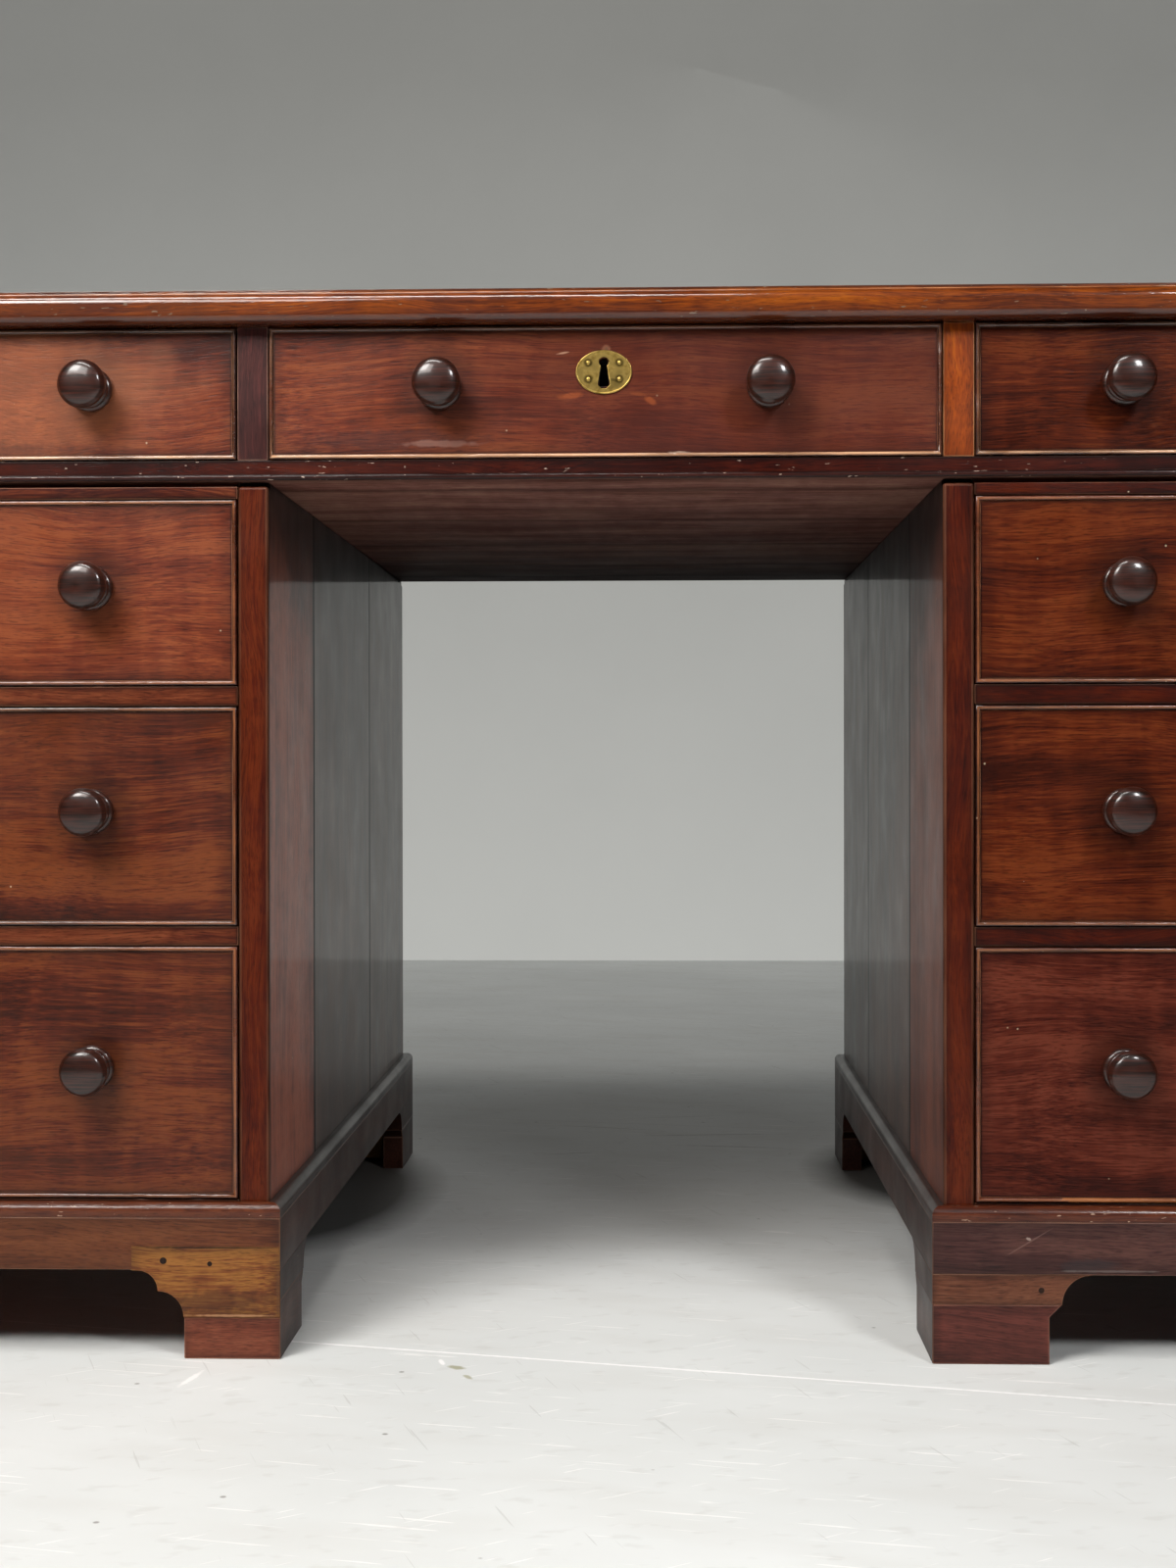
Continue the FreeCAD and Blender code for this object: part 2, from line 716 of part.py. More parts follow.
def lock(name, opening, face_top):
    """Escutcheon and case of a drawer lock, its bolt, and what the face loses to them."""
    middle = opening / 2 + cell.plate_raise
    key = keyhole(name + "_keyhole", middle)
    oval = doc.addObject("Part::Ellipse", name + "_oval")
    bind(oval, MajorRadius=cell.plate_length / 2, MinorRadius=cell.plate_height / 2)
    plate = doc.addObject("Part::Extrusion", name + "_plate")
    plate.Base = oval
    plate.DirMode = "Custom"
    plate.Dir = Vector(0, -1, 0)
    plate.Solid = True
    bind(plate, LengthFwd=cell.plate_thickness)
    place(oval, 0.0, 0.0, middle, OUTWARDS)

    back = cell.face_thickness
    front = back - cell.lock_depth
    width = across(cell.lock_width / 2)
    height = (face_top - cell.lock_height, face_top)
    case = board(name + "_body", width, (front, back), height)
    recess = board(name + "_recess", width, (front, back), height)
    key_top = middle + cell.keyhole_raise
    key_slot = board(
        name + "_key_slot",
        across(cell.keyhole_flare),
        (front, front + cell.key_slot_depth),
        (key_top - cell.keyhole_drop, key_top),
    )
    centre = (front + back) / 2
    bolt_half = cell.bolt_thickness / 2
    gap = cell.bolt_gap
    low = face_top - cell.bolt_height
    channel = board(
        name + "_channel",
        across(cell.bolt_width / 2 + gap),
        (centre - bolt_half - gap, centre + bolt_half + gap),
        (low - gap, face_top),
    )
    bolt = board(
        name + "_bolt_bar",
        across(cell.bolt_width / 2),
        (centre - bolt_half, centre + bolt_half),
        (low, face_top),
    )
    fixed = [
        cut(name + "_escutcheon", plate, [key]),
        cut(name + "_case", case, [channel, key_slot]),
    ]
    return fixed, bolt, [recess, key]


def drawer(name, side, column_x, half_bay, z, tails, spread, has_lock=False):
    """A drawer in its opening, as a face with its knobs and a box; gives back its stop blocks."""
    opening = z[1] - z[0]
    half_face = half_bay - cell.face_gap
    half_inside = half_face - cell.drawer_side
    face_low = cell.face_gap
    face_top = opening - cell.face_gap
    side_low = cell.runner_gap
    side_top = face_top - cell.side_drop
    thickness = cell.face_thickness
    sockets = []
    sides = []
    panel_low = side_low + cell.bottom_lift
    panel_top = panel_low + cell.bottom_panel
    panel_z = (panel_low, panel_top)
    back_y = (
        drawer_length - cell.back_inset - cell.back_thickness,
        drawer_length - cell.back_inset,
    )
    for wall, sign in COLUMNS.items():
        made = dovetails(f"{name}_{wall}", sign, half_face, (panel_top, side_top), tails)
        sockets += made
        x = on_side(sign, half_inside, half_face)
        plank = board(f"{name}_{wall}_plank", x, (thickness, drawer_length), (side_low, side_top))
        tailed = fuse(f"{name}_{wall}_tailed", [plank] + made)
        groove_x = on_side(sign, half_inside, half_inside + cell.bottom_groove)
        housing_x = on_side(sign, half_inside, half_inside + cell.back_housing)
        groove = board(f"{name}_{wall}_groove", groove_x, (thickness, drawer_length), panel_z)
        housing = board(f"{name}_{wall}_housing", housing_x, back_y, (panel_top, side_top))
        sides.append(cut(f"{name}_{wall}_side", tailed, [groove, housing]))

    # face: a core behind, and a field in front that the cock bead runs round
    bead = cell.bead_width
    core = board(name + "_core", across(half_face), (cell.bead_depth, thickness), (face_low, face_top))
    field = board(
        name + "_field",
        across(half_face - bead),
        (0.0, cell.bead_depth),
        (face_low + bead, face_top - bead),
    )
    panel_x = across(half_inside + cell.bottom_groove)
    panel_front = thickness - cell.bottom_groove
    face_groove = board(name + "_face_groove", panel_x, (panel_front, thickness), panel_z)
    removed = sockets + [face_groove]
    turn = Rotation(Vector(0, 0, 1), 0 if side == "front" else 180)
    seat = (column_x, half_depth * WORKING_SIDES[side], z[0], turn)
    if has_lock:
        fixed, bolt, lost = lock(name + "_lock", opening, face_top)
        removed += lost
        place(node(name + "_lock", fixed), *seat)
        place(node(name + "_lock_bolt", [bolt]), *seat)
    panel_face = cut(name + "_board", fuse(name + "_blank", [core, field]), removed)
    beads = mitred_frame(
        name + "_bead",
        half_face,
        (face_top - face_low) / 2,
        bead,
        (-cell.bead_depth, cell.bead_proud),
        (0.0, opening / 2),
    )
    cock_bead = place(group(name + "_cock_bead", beads), turn=OUTWARDS)
    knobs = []
    for wall, sign in COLUMNS.items():
        link = doc.addObject("App::Link", f"{name}_{wall}_knob")
        link.LinkedObject = knob
        knobs.append(place(link, spread * sign, 0.0, opening / 2 + cell.knob_raise, OUTWARDS))
    place(node(name + "_face", [panel_face, cock_bead] + knobs), *seat)

    panel = board(name + "_bottom", panel_x, (panel_front, drawer_length), panel_z)
    back_x = across(half_inside + cell.back_housing)
    back = board(name + "_back", back_x, back_y, (panel_top, side_top))
    place(node(name + "_box", sides + [panel, back]), *seat)

    stop_y = (thickness + cell.runner_gap, thickness + cell.runner_gap + cell.stop_depth)
    stops = [
        board(
            f"{name}_{wall}_stop",
            (cell.stop_spread * sign - cell.stop_width / 2, cell.stop_spread * sign + cell.stop_width / 2),
            stop_y,
            (0.0, cell.stop_height),
        )
        for wall, sign in COLUMNS.items()
    ]
    return place(group(name + "_stops", stops), *seat)


# --------------------------------------------------------------------------------------------------
# The desk
# --------------------------------------------------------------------------------------------------
top_board()
frieze()
caps = []
tips = []
blocks = []
for column in COLUMNS:
    pedestal(column)
    more_caps, more_tips, more_blocks = plinth(column)
    caps += more_caps
    tips += more_tips
    blocks += more_blocks
node("plinth_caps", caps)
node("foot_tips", tips)
node("glue_blocks", blocks)

knob = turned_knob()
stops = []
frieze_z = (frieze_floor, top_under)
for side in WORKING_SIDES:
    spread = cell.centre_knob_spread
    name = side + "_centre_frieze"
    stops.append(drawer(name, side, 0.0, half_kneehole, frieze_z, FRIEZE_TAILS, spread, has_lock=True))
    for column, sign in COLUMNS.items():
        seat = (side, pedestal_centre * sign, half_opening)
        name = f"{side}_{column}"
        stops.append(drawer(name + "_frieze", *seat, frieze_z, FRIEZE_TAILS, cell.knob_spread))
        for level, z in LEVELS.items():
            stops.append(drawer(f"{name}_{level}", *seat, z, PEDESTAL_TAILS, cell.knob_spread))
node("drawer_stops", stops)
doc.recompute()

# --------------------------------------------------------------------------------------------------
# Check every object, then write one file for each node
# --------------------------------------------------------------------------------------------------
for item in doc.Objects:
    if "Invalid" in item.State or "Error" in item.State:
        raise RuntimeError(f"{item.Name} failed: {item.State}")
for name, piece in nodes.items():
    shape = piece.Shape
    if shape.isNull() or not shape.isValid() or shape.Volume <= 0:
        raise RuntimeError(f"{name} has no sound shape")

os.makedirs("parts", exist_ok=True)
for name, piece in nodes.items():
    piece.Shape.exportStep(f"parts/{name}.step")
print(f"{len(nodes)} nodes, {sum(len(piece.Shape.Solids) for piece in nodes.values())} solids")
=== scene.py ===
# %% [markdown]
# # A mahogany partners desk
#
# The desk arrives as a fixed frame of boards, drawers and feet, in metres, each in its place. These
# cells give it the skin of an old and much used piece: eased arrises, planted beads, turned knobs,
# brass, leather, and polish that has darkened in the corners and worn through on the edges.

# %% Load the frame
import json
import math
import random

import bmesh
import bpy
from mathutils import Matrix, Vector, noise


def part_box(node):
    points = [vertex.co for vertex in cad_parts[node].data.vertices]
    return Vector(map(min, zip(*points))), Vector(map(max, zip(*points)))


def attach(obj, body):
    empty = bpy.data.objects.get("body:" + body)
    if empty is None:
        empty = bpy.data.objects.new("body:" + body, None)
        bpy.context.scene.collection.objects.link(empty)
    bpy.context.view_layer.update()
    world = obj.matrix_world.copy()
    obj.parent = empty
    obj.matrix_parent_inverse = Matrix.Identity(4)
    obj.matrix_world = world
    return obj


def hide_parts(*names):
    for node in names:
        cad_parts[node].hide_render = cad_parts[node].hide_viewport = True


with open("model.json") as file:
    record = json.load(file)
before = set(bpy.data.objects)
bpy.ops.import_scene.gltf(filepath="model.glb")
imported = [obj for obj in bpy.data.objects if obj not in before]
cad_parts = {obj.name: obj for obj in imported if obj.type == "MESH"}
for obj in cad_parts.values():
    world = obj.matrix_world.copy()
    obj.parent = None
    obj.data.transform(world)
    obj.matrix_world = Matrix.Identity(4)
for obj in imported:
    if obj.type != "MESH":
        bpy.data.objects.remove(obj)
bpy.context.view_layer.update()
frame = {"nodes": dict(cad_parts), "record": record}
MM = 0.001
SIDES = {"front": -1, "rear": 1}    # each side of the desk, and the way along Y that it faces
COLUMNS = ("left", "right")
LEVELS = ("frieze", "top", "middle", "bottom")

# %% [markdown]
# ## Colours and shader nodes
#
# Paint and wood colours are given as sRGB hex values, but a shader adds up light, so it
# wants linear ones. One function turns one into the other. Another adds a node with its settings,
# its colour stops and its links in a single call, which keeps a long material readable from top to
# bottom. A material could also be built by hand in the shader editor, but a finish that is written
# down can be varied for every kind of board.

# %% Colour and node helpers
MIX_A, MIX_B, MIX_OUT = 6, 7, 2    # the colour inputs and output of a Mix node


def linear(shade):
    """An sRGB hex colour as the linear red, green, blue and alpha of a shader."""
    channels = [int(shade[start:start + 2], 16) / 255 for start in (0, 2, 4)]
    return [c / 12.92 if c <= 0.04045 else ((c + 0.055) / 1.055) ** 2.4 for c in channels] + [1.0]


def set_stops(elements, stops):
    """Give a colour ramp its stops, each a position and an sRGB hex colour."""
    for element, (position, shade) in zip(elements, (stops[0], stops[-1])):
        element.position = position
        element.color = linear(shade)
    for position, shade in stops[1:-1]:
        elements.new(position).color = linear(shade)


def add(tree, kind, settings=None, links=None):
    """A new shader node; settings are its properties, inputs or stops, links are outputs to join."""
    made = tree.nodes.new("ShaderNode" + kind)
    for key, value in (settings or {}).items():
        if key == "stops":
            set_stops(made.color_ramp.elements, value)
        elif isinstance(key, str) and hasattr(made, key):
            setattr(made, key, value)
        else:
            made.inputs[key].default_value = value
    for key, source in (links or {}).items():
        tree.links.new(source, made.inputs[key])
    return made


print("Mid grey, sRGB 808080, is", round(linear("808080")[0], 3), "to a shader")

# %% [markdown]
# ## A finish and what lies over it
#
# A finish on old furniture is a pile of thin layers: bare wood, polish, dirt, wear, a splash of
# wall paint. A material can be piled up in the same order. It begins as one surface with one
# colour, and each later layer takes the colour that is there, covers it where a factor says, and
# hands it on. So a single board can get one more scratch without any change to its neighbours.

# %% Start a finish and cover it
def new_finish(name, **settings):
    """An empty material, and its tree and surface shader."""
    material = bpy.data.materials.new(name)
    material.use_nodes = True
    surface = material.node_tree.nodes["Principled BSDF"]
    for key, value in settings.items():
        surface.inputs[key.replace("_", " ")].default_value = value
    return material, material.node_tree, surface


def paint_over(material, factor, shade, strength=1.0):
    """Lay one colour over a finish where a factor says."""
    tree = material.node_tree
    top = tree.nodes["Principled BSDF"].inputs["Base Color"]
    share = add(tree, "Math", {"operation": "MULTIPLY", 1: strength}, {0: factor})
    layer = add(
        tree, "Mix", {"data_type": "RGBA", MIX_B: linear(shade)},
        {"Factor": share.outputs[0], MIX_A: top.links[0].from_socket},
    )
    tree.links.new(layer.outputs[MIX_OUT], top)


def stretched_noise(tree, place, sizes, detail):
    """A noise whose lumps have a length, a width and a height in mm."""
    scale = tuple(1 / (size * MM) for size in sizes)
    stretched = add(tree, "VectorMath", {"operation": "MULTIPLY", 1: scale}, {0: place})
    lumps = add(tree, "TexNoise", {"Scale": 1.0, "Detail": detail}, {"Vector": stretched.outputs[0]})
    return lumps.outputs["Fac"]


print("A colour is covered with a Mix node, inputs", MIX_A, "and", MIX_B)

# %% [markdown]
# ## The grain
#
# Mahogany is cut from a wide, slow-grown tree. Its figure is broad and quiet, its grain shows as
# fine darker streaks, and its open pores are short dark dashes along the grain. A scanned board
# would show all that, but it would repeat, and stop at every edge. Instead, plain noise is drawn
# out along the grain: a cloud becomes a streak, and six layers from a forearm's length down to a
# pore make up the wood.
#
# Every board here carries what its wood reads on its mesh: where a point is along and across the
# grain, how far it is from the board's middle, the board's half size, a number of its own, and
# which faces are arrises. So each board keeps its own figure when its drawer is pulled out.

# %% Grain
# length and width in mm of each layer, and its detail; a real pore is a quarter of a millimetre
# wide and is drawn nearly four times as wide, to show
GRAIN_LAYERS = {
    "figure": (260.0, 34.0, 3.0),
    "streak": (150.0, 3.2, 4.0),
    "fibre": (34.0, 1.1, 3.0),
    "mottle": (16.0, 60.0, 2.0),
    "pores": (9.0, 0.9, 1.0),
    "handling": (70.0, 55.0, 3.0),
}
WANDER_LENGTH = 190 * MM    # the length of a hand
WANDER_SPAN = 34 * MM       # noise keeps to its middle values, so this gives 8 mm to either side


def grain(tree):
    """Places along the wandering grain, and the layers of noise that lie along it."""
    straight = add(tree, "Attribute", {"attribute_name": "grain"}).outputs["Vector"]
    wander = add(tree, "TexNoise", {"Scale": 1 / WANDER_LENGTH, "Detail": 1.0}, {"Vector": straight})
    centred = add(
        tree, "VectorMath", {"operation": "SUBTRACT", 1: (0.5, 0.5, 0.5)}, {0: wander.outputs["Color"]}
    )
    sideways = add(
        tree, "VectorMath", {"operation": "MULTIPLY", 1: (0.0, WANDER_SPAN, WANDER_SPAN)},
        {0: centred.outputs[0]},
    )
    laid = add(tree, "VectorMath", {"operation": "ADD"}, {0: straight, 1: sideways.outputs[0]})
    layers = {
        layer: stretched_noise(tree, laid.outputs[0], (length, width, width), detail)
        for layer, (length, width, detail) in GRAIN_LAYERS.items()
    }
    return laid.outputs[0], layers


print("Layers of the grain:", ", ".join(GRAIN_LAYERS))

# %% [markdown]
# ## The wood's own colour
#
# The layers add up to one tone, and a ramp of three colours, from the dark of the late growth to
# the light of the early one, turns tone into wood. Cut from another part of the tree, each board
# is a little lighter or darker. Daylight has bleached the polish in patches as wide as a hand.
# The pores are filled with old dark polish, which stains what is under it, so their colour is
# multiplied with the wood's.

# %% Figure
TONE_SHARES = {"figure": 0.38, "streak": 0.21, "fibre": 0.29, "mottle": 0.12}
BOARD_SHARE = 0.1
PORE_STAIN = "4a2a20"


def figured(tree, laid, layers, pores, deep, warm, light, sun):
    """The colour of bare wood: its figure, its sun-bleached patches and its pores."""
    board = add(tree, "Attribute", {"attribute_name": "board"}).outputs["Fac"]
    tone = add(tree, "Math", {"operation": "MULTIPLY", 1: BOARD_SHARE}, {0: board})
    for layer, share in TONE_SHARES.items():
        tone = add(
            tree, "Math", {"operation": "MULTIPLY_ADD", 1: share}, {0: layers[layer], 2: tone.outputs[0]}
        )
    ramp = add(
        tree, "ValToRGB", {"stops": ((0.465, deep), (0.55, warm), (0.635, light))},
        {"Fac": tone.outputs[0]},
    )
    patches = add(tree, "TexNoise", {"Scale": 1 / (120 * MM), "Detail": 2.0}, {"Vector": laid})
    faded = add(
        tree, "MapRange", {"From Min": 0.5, "From Max": 0.68, "To Max": sun},
        {"Value": patches.outputs["Fac"]},
    )
    body = add(
        tree, "Mix", {"data_type": "RGBA", MIX_B: linear(light)},
        {"Factor": faded.outputs[0], MIX_A: ramp.outputs["Color"]},
    )
    stained = add(
        tree, "Mix", {"data_type": "RGBA", "blend_type": "MULTIPLY", MIX_B: linear(PORE_STAIN)},
        {"Factor": pores, MIX_A: body.outputs[MIX_OUT]},
    )
    return stained.outputs[MIX_OUT]


print("Shares of the tone add up to", round(sum(TONE_SHARES.values()), 2))

# %% [markdown]
# ## Edges, dirt and wear
#
# Dirt and old wax collect beside every moulding and in every corner, and hands and dusters rub
# the arrises back to pale wood. Both need to know how far a point is from the edge of its board.
# A point on one face is no distance from that face, so the nearest edge is the middle one of its
# three distances to the faces of the board. The layer called handling makes dirt and wear uneven.

# %% Edges
def edge_distance(tree):
    """How far a point on a board is from the nearest edge of its face, in metres."""
    middle = add(tree, "Attribute", {"attribute_name": "to_middle"})
    half = add(tree, "Attribute", {"attribute_name": "half_size"})
    reach = add(tree, "VectorMath", {"operation": "ABSOLUTE"}, {0: middle.outputs["Vector"]})
    inset = add(
        tree, "VectorMath", {"operation": "SUBTRACT"}, {0: half.outputs["Vector"], 1: reach.outputs[0]}
    )
    parts = add(tree, "SeparateXYZ", links={0: inset.outputs[0]})
    low = add(tree, "Math", {"operation": "MINIMUM"}, {0: parts.outputs[0], 1: parts.outputs[1]})
    high = add(tree, "Math", {"operation": "MAXIMUM"}, {0: parts.outputs[0], 1: parts.outputs[1]})
    inner = add(tree, "Math", {"operation": "MINIMUM"}, {0: high.outputs[0], 1: parts.outputs[2]})
    rim = add(tree, "Math", {"operation": "MAXIMUM"}, {0: low.outputs[0], 1: inner.outputs[0]})
    return rim.outputs[0]


def dirt(tree, rim, handling, width, depth):
    """How thick dirt lies beside the edges, in a ragged band of a width in mm."""
    ragged = add(
        tree, "Math", {"operation": "MULTIPLY_ADD", 1: -width * MM}, {0: handling, 2: rim}
    )
    thick = add(
        tree, "MapRange",
        {"From Min": -width * 0.6 * MM, "From Max": width * 0.6 * MM, "To Min": depth, "To Max": 0.0},
        {"Value": ragged.outputs[0]},
    )
    return thick.outputs[0]


def rubbing(tree, handling, wear):
    """How far the arrises are rubbed back to bare wood, in stretches."""
    arris = add(tree, "Attribute", {"attribute_name": "arris"}).outputs["Fac"]
    rubbed = add(
        tree, "MapRange", {"From Min": 0.36, "From Max": 0.6, "To Min": wear * 0.25, "To Max": wear},
        {"Value": handling},
    )
    return add(tree, "Math", {"operation": "MULTIPLY"}, {0: arris, 1: rubbed.outputs[0]}).outputs[0]


def relief(tree, layers, pores, bump):
    """Open pores, raised fibres and the slow waves that a hand plane leaves."""
    tilt = None
    for source, height, depth in (
        (pores, -0.12 * MM, 0.6),
        (layers["fibre"], 0.1 * MM, 0.5),
        (layers["handling"], 0.9 * MM, 0.35),
    ):
        under = {"Normal": tilt.outputs[0]} if tilt else {}
        tilt = add(
            tree, "Bump", {"Strength": depth * bump, "Distance": abs(height), "invert": height < 0},
            {"Height": source} | under,
        )
    return tilt.outputs[0]


print("The dirt, wear and relief of a wood are set by its grime, wear and bump")

# %% [markdown]
# ## Wood under polish
#
# French polish is shellac rubbed on in many thin coats, so it lies over the wood as a clear warm
# skin: a coat with its own, finer roughness over the duller wood. Now the layers are piled up in
# the order in which they came: wood, pores, dirt, a dark line set in from the edges, which is a
# joint between boards and painted shade beside a bead or a drawer gap, bare arrises, specks of
# wall paint from the decorators, and on some boards a grey haze, which is painted sheen.

# %% Wood finish
SEAM_AND_SHADE_DARK = "080303"
WALL_PAINT = "cbb89c"
PAINTED_SHEEN_GREY = "8c8078"
SEAM_HALF = 1.2           # mm, half the soft width of a seam line
SPECKS_APART = 30 * MM    # each speck is a millimetre across, with a soft edge


# grime_width and seam are in mm; depths, wear, haze, flecks and sun are shares from 0 to 1
def wood(
    name, deep, warm, light, worn, grime="140705", roughness=0.4, coat=0.12, coat_roughness=0.16,
    grime_width=14.0, grime_depth=0.5, wear=0.7, pore_depth=0.4, bump=1.0, haze=0.0, flecks=0.5,
    shine=0.22, sun=0.35, seam=0.0,
):
    """A polished or bare wood, from the colours of its figure and the state of its surface."""
    material, tree, surface = new_finish(
        name, IOR=1.5, Specular_IOR_Level=shine, Coat_Weight=coat, Coat_Roughness=coat_roughness,
        Coat_IOR=1.5,
    )
    laid, layers = grain(tree)
    handling = layers["handling"]
    pores = add(
        tree, "MapRange", {"From Min": 0.54, "From Max": 0.68, "To Max": pore_depth},
        {"Value": layers["pores"]},
    ).outputs[0]
    bare = figured(tree, laid, layers, pores, deep, warm, light, sun)
    tree.links.new(bare, surface.inputs["Base Color"])
    rim = edge_distance(tree)
    paint_over(material, dirt(tree, rim, handling, grime_width, grime_depth), grime)
    # a dark line set in from the edges: a joint between boards, and painted shade beside a bead or a
    # drawer gap
    if seam:
        line = add(
            tree, "MapRange",
            {"From Min": (seam - SEAM_HALF) * MM, "From Max": (seam + SEAM_HALF) * MM,
             "To Min": 0.85, "To Max": 0.0},
            {"Value": rim},
        )
        paint_over(material, line.outputs[0], SEAM_AND_SHADE_DARK)
    paint_over(material, rubbing(tree, handling, wear), worn)
    dots = add(tree, "TexVoronoi", {"Scale": 1 / SPECKS_APART}, {"Vector": laid})
    speck = add(
        tree, "MapRange", {"From Min": 0.016, "From Max": 0.03, "To Min": flecks, "To Max": 0.0},
        {"Value": dots.outputs["Distance"]},
    )
    paint_over(material, speck.outputs[0], WALL_PAINT)
    # painted sheen: a grey haze laid over the wood's colour
    if haze:
        painted_sheen = add(
            tree, "MapRange", {"From Min": 0.4, "From Max": 0.65, "To Max": haze}, {"Value": handling}
        )
        paint_over(material, painted_sheen.outputs[0], PAINTED_SHEEN_GREY)
    smudges = add(
        tree, "MapRange",
        {"From Min": 0.3, "From Max": 0.7, "To Min": roughness - 0.07, "To Max": roughness + 0.1},
        {"Value": handling},
    )
    tree.links.new(smudges.outputs[0], surface.inputs["Roughness"])
    tilt = relief(tree, layers, pores, bump)
    tree.links.new(tilt, surface.inputs["Normal"])
    tree.links.new(tilt, surface.inputs["Coat Normal"])
    return material


# %% [markdown]
# ## The desk's woods
#
# One tree was not used for the whole desk, and it has not aged evenly. The drawer fronts are the
# best boards, red-brown under full polish, deeper on the right pedestal, partly in the wood and
# partly as painted shade, and purple at its foot; the lower fronts of the other pedestal carry
# painted shade. The top's edge has been rubbed to orange by sleeves. One divider has bleached, the
# other has stayed plum-dark. The sides of the kneehole have gone smoky, all but the board next to
# the front, and the woods of its right side carry painted shade. Each plinth has faded in its own
# way. Inside, the drawers are bare oak and the hidden carcase is pine.
#
# Each wood is one call: four colours, from deep to light and then worn, and whatever in its
# surface differs from the usual. Boards of one wood share it, and differ by their own numbers.

# %% Woods of the drawer fronts
BEAD_SHADE_LINE = 4.2    # mm in from the edge of a front, where painted shade beside its bead lies
FRONT = wood(
    "polished_mahogany_drawer_front", "3c1409", "622816", "7d3f22", "c98d68", seam=BEAD_SHADE_LINE,
)
# painted shade: a darker copy of the front for the lower rows
LOW_FRONT_PAINTED_SHADE = wood(
    "polished_mahogany_low_drawer_front", "311005", "511f0e", "6b3518", "b98060", seam=BEAD_SHADE_LINE,
)
DULL_FRONT = {"shine": 0.08, "coat": 0.05, "sun": 0.1, "seam": BEAD_SHADE_LINE}
# deeper on the right pedestal, partly in the wood and partly painted shade
DEEP_FRONT = wood(
    "polished_mahogany_deep_drawer_front", "2e0c04", "4d1b0a", "652d13", "b98060", **DULL_FRONT
)
PURPLE_FRONT = wood(
    "polished_mahogany_purple_drawer_front", "2e0e09", "4a1b11", "612d1f", "b98060", **DULL_FRONT
)
print("Woods so far:", [material.name for material in bpy.data.materials if "front" in material.name])

# %% Woods of the top, the frieze and the frames
RAIL = wood(
    "polished_mahogany_rail", "37120c", "592716", "743c23", "b98060", grime_width=6.0, shine=0.12,
    coat=0.06, wear=0.35, seam=1.2,
)
DARK_RAIL = wood(
    "polished_mahogany_dark_rail", "240603", "390e05", "49190c", "a07058", grime_width=6.0,
    shine=0.12, coat=0.22, coat_roughness=0.1, wear=0.1, seam=1.4,
)
STILE = wood(
    "polished_mahogany_stile", "2c0903", "451204", "59210a", "b4795a", grime_width=8.0, shine=0.12,
    coat=0.06, wear=0.15, seam=1.2,
)
EDGE = wood(
    "polished_mahogany_rubbed_edge_painted_shade", "4d1d02", "763403", "8e4806", "c98d60", grime="2a1208",
    shine=0.12, roughness=0.42, coat=1.0, coat_roughness=0.045, grime_width=5.0, grime_depth=0.3,
    bump=0.45,
)
PLUM = wood("polished_mahogany_plum_dark", "351614", "542522", "6f3831", "a07a68", grime_width=8.0)
BLEACHED = wood(
    "polished_mahogany_sun_bleached", "672503", "873806", "a04d0c", "cf9a6a", grime_width=7.0,
)
SOFFIT = wood(
    "bare_mahogany_kneehole_ceiling_painted_shade", "5d382e", "785047", "906c5b", "7d5a4c", wear=0.3, shine=0.02,
    roughness=0.7, coat=0.0,
)
print("Materials so far:", len(bpy.data.materials))

# %% Woods of the kneehole's sides
SMOKED = {
    "roughness": 0.46, "coat_roughness": 0.07, "grime_width": 9.0, "seam": 4.5, "bump": 0.5,
    "shine": 0.1, "wear": 1.0,
}
SMOKY = wood(
    "polished_mahogany_smoky_panel", "2a1511", "42281e", "583c2e", "060404", coat=0.38, haze=0.12,
    **SMOKED
)
SMOKY_FRONT = wood(
    "polished_mahogany_smoky_front_board", "4c1e11", "753624", "944c34", "060404", coat=0.3,
    haze=0.05, **SMOKED
)
# painted shade: darker copies of the kneehole's side woods for its right side
SMOKY_PAINTED_SHADE_RIGHT = wood(
    "polished_mahogany_smoky_panel_right_painted_shade", "25120e", "3b231a", "4f3529", "060404", coat=0.3,
    haze=0.12, **SMOKED
)
SMOKY_PAINTED_SHADE_RIGHT_FRONT = wood(
    "polished_mahogany_smoky_front_board_right", "331208", "502316", "663321", "060404", coat=0.18,
    haze=0.05, **SMOKED
)
print("The kneehole's sides are seamed", SMOKED["seam"], "mm in from the edges of their boards")

# %% Woods of the plinths, the feet and the hidden parts
PLINTH_LEFT = wood(
    "polished_mahogany_faded_plinth", "38180c", "542914", "683a1f", "cb9468", grime_depth=0.4,
    wear=0.2,
)
PLINTH_RIGHT = wood(
    "polished_mahogany_dark_plinth", "2c1411", "412320", "53332c", "a8795f", wear=0.4,
)
# painted shade: a darker copy for the plinths' inner and back faces and the feet's hidden faces
PLINTH_PAINTED_SHADE = wood(
    "dull_mahogany_plinth_inner_side_painted_shade", "24110c", "351c14", "47281e", "6e5142", shine=0.12, coat=0.08,
)
CAP = wood(
    "polished_mahogany_plinth_cap", "2e0e07", "4c1f10", "643119", "d6a07a", grime_width=5.0,
    wear=0.9, coat=0.35, coat_roughness=0.12, shine=0.2,
)
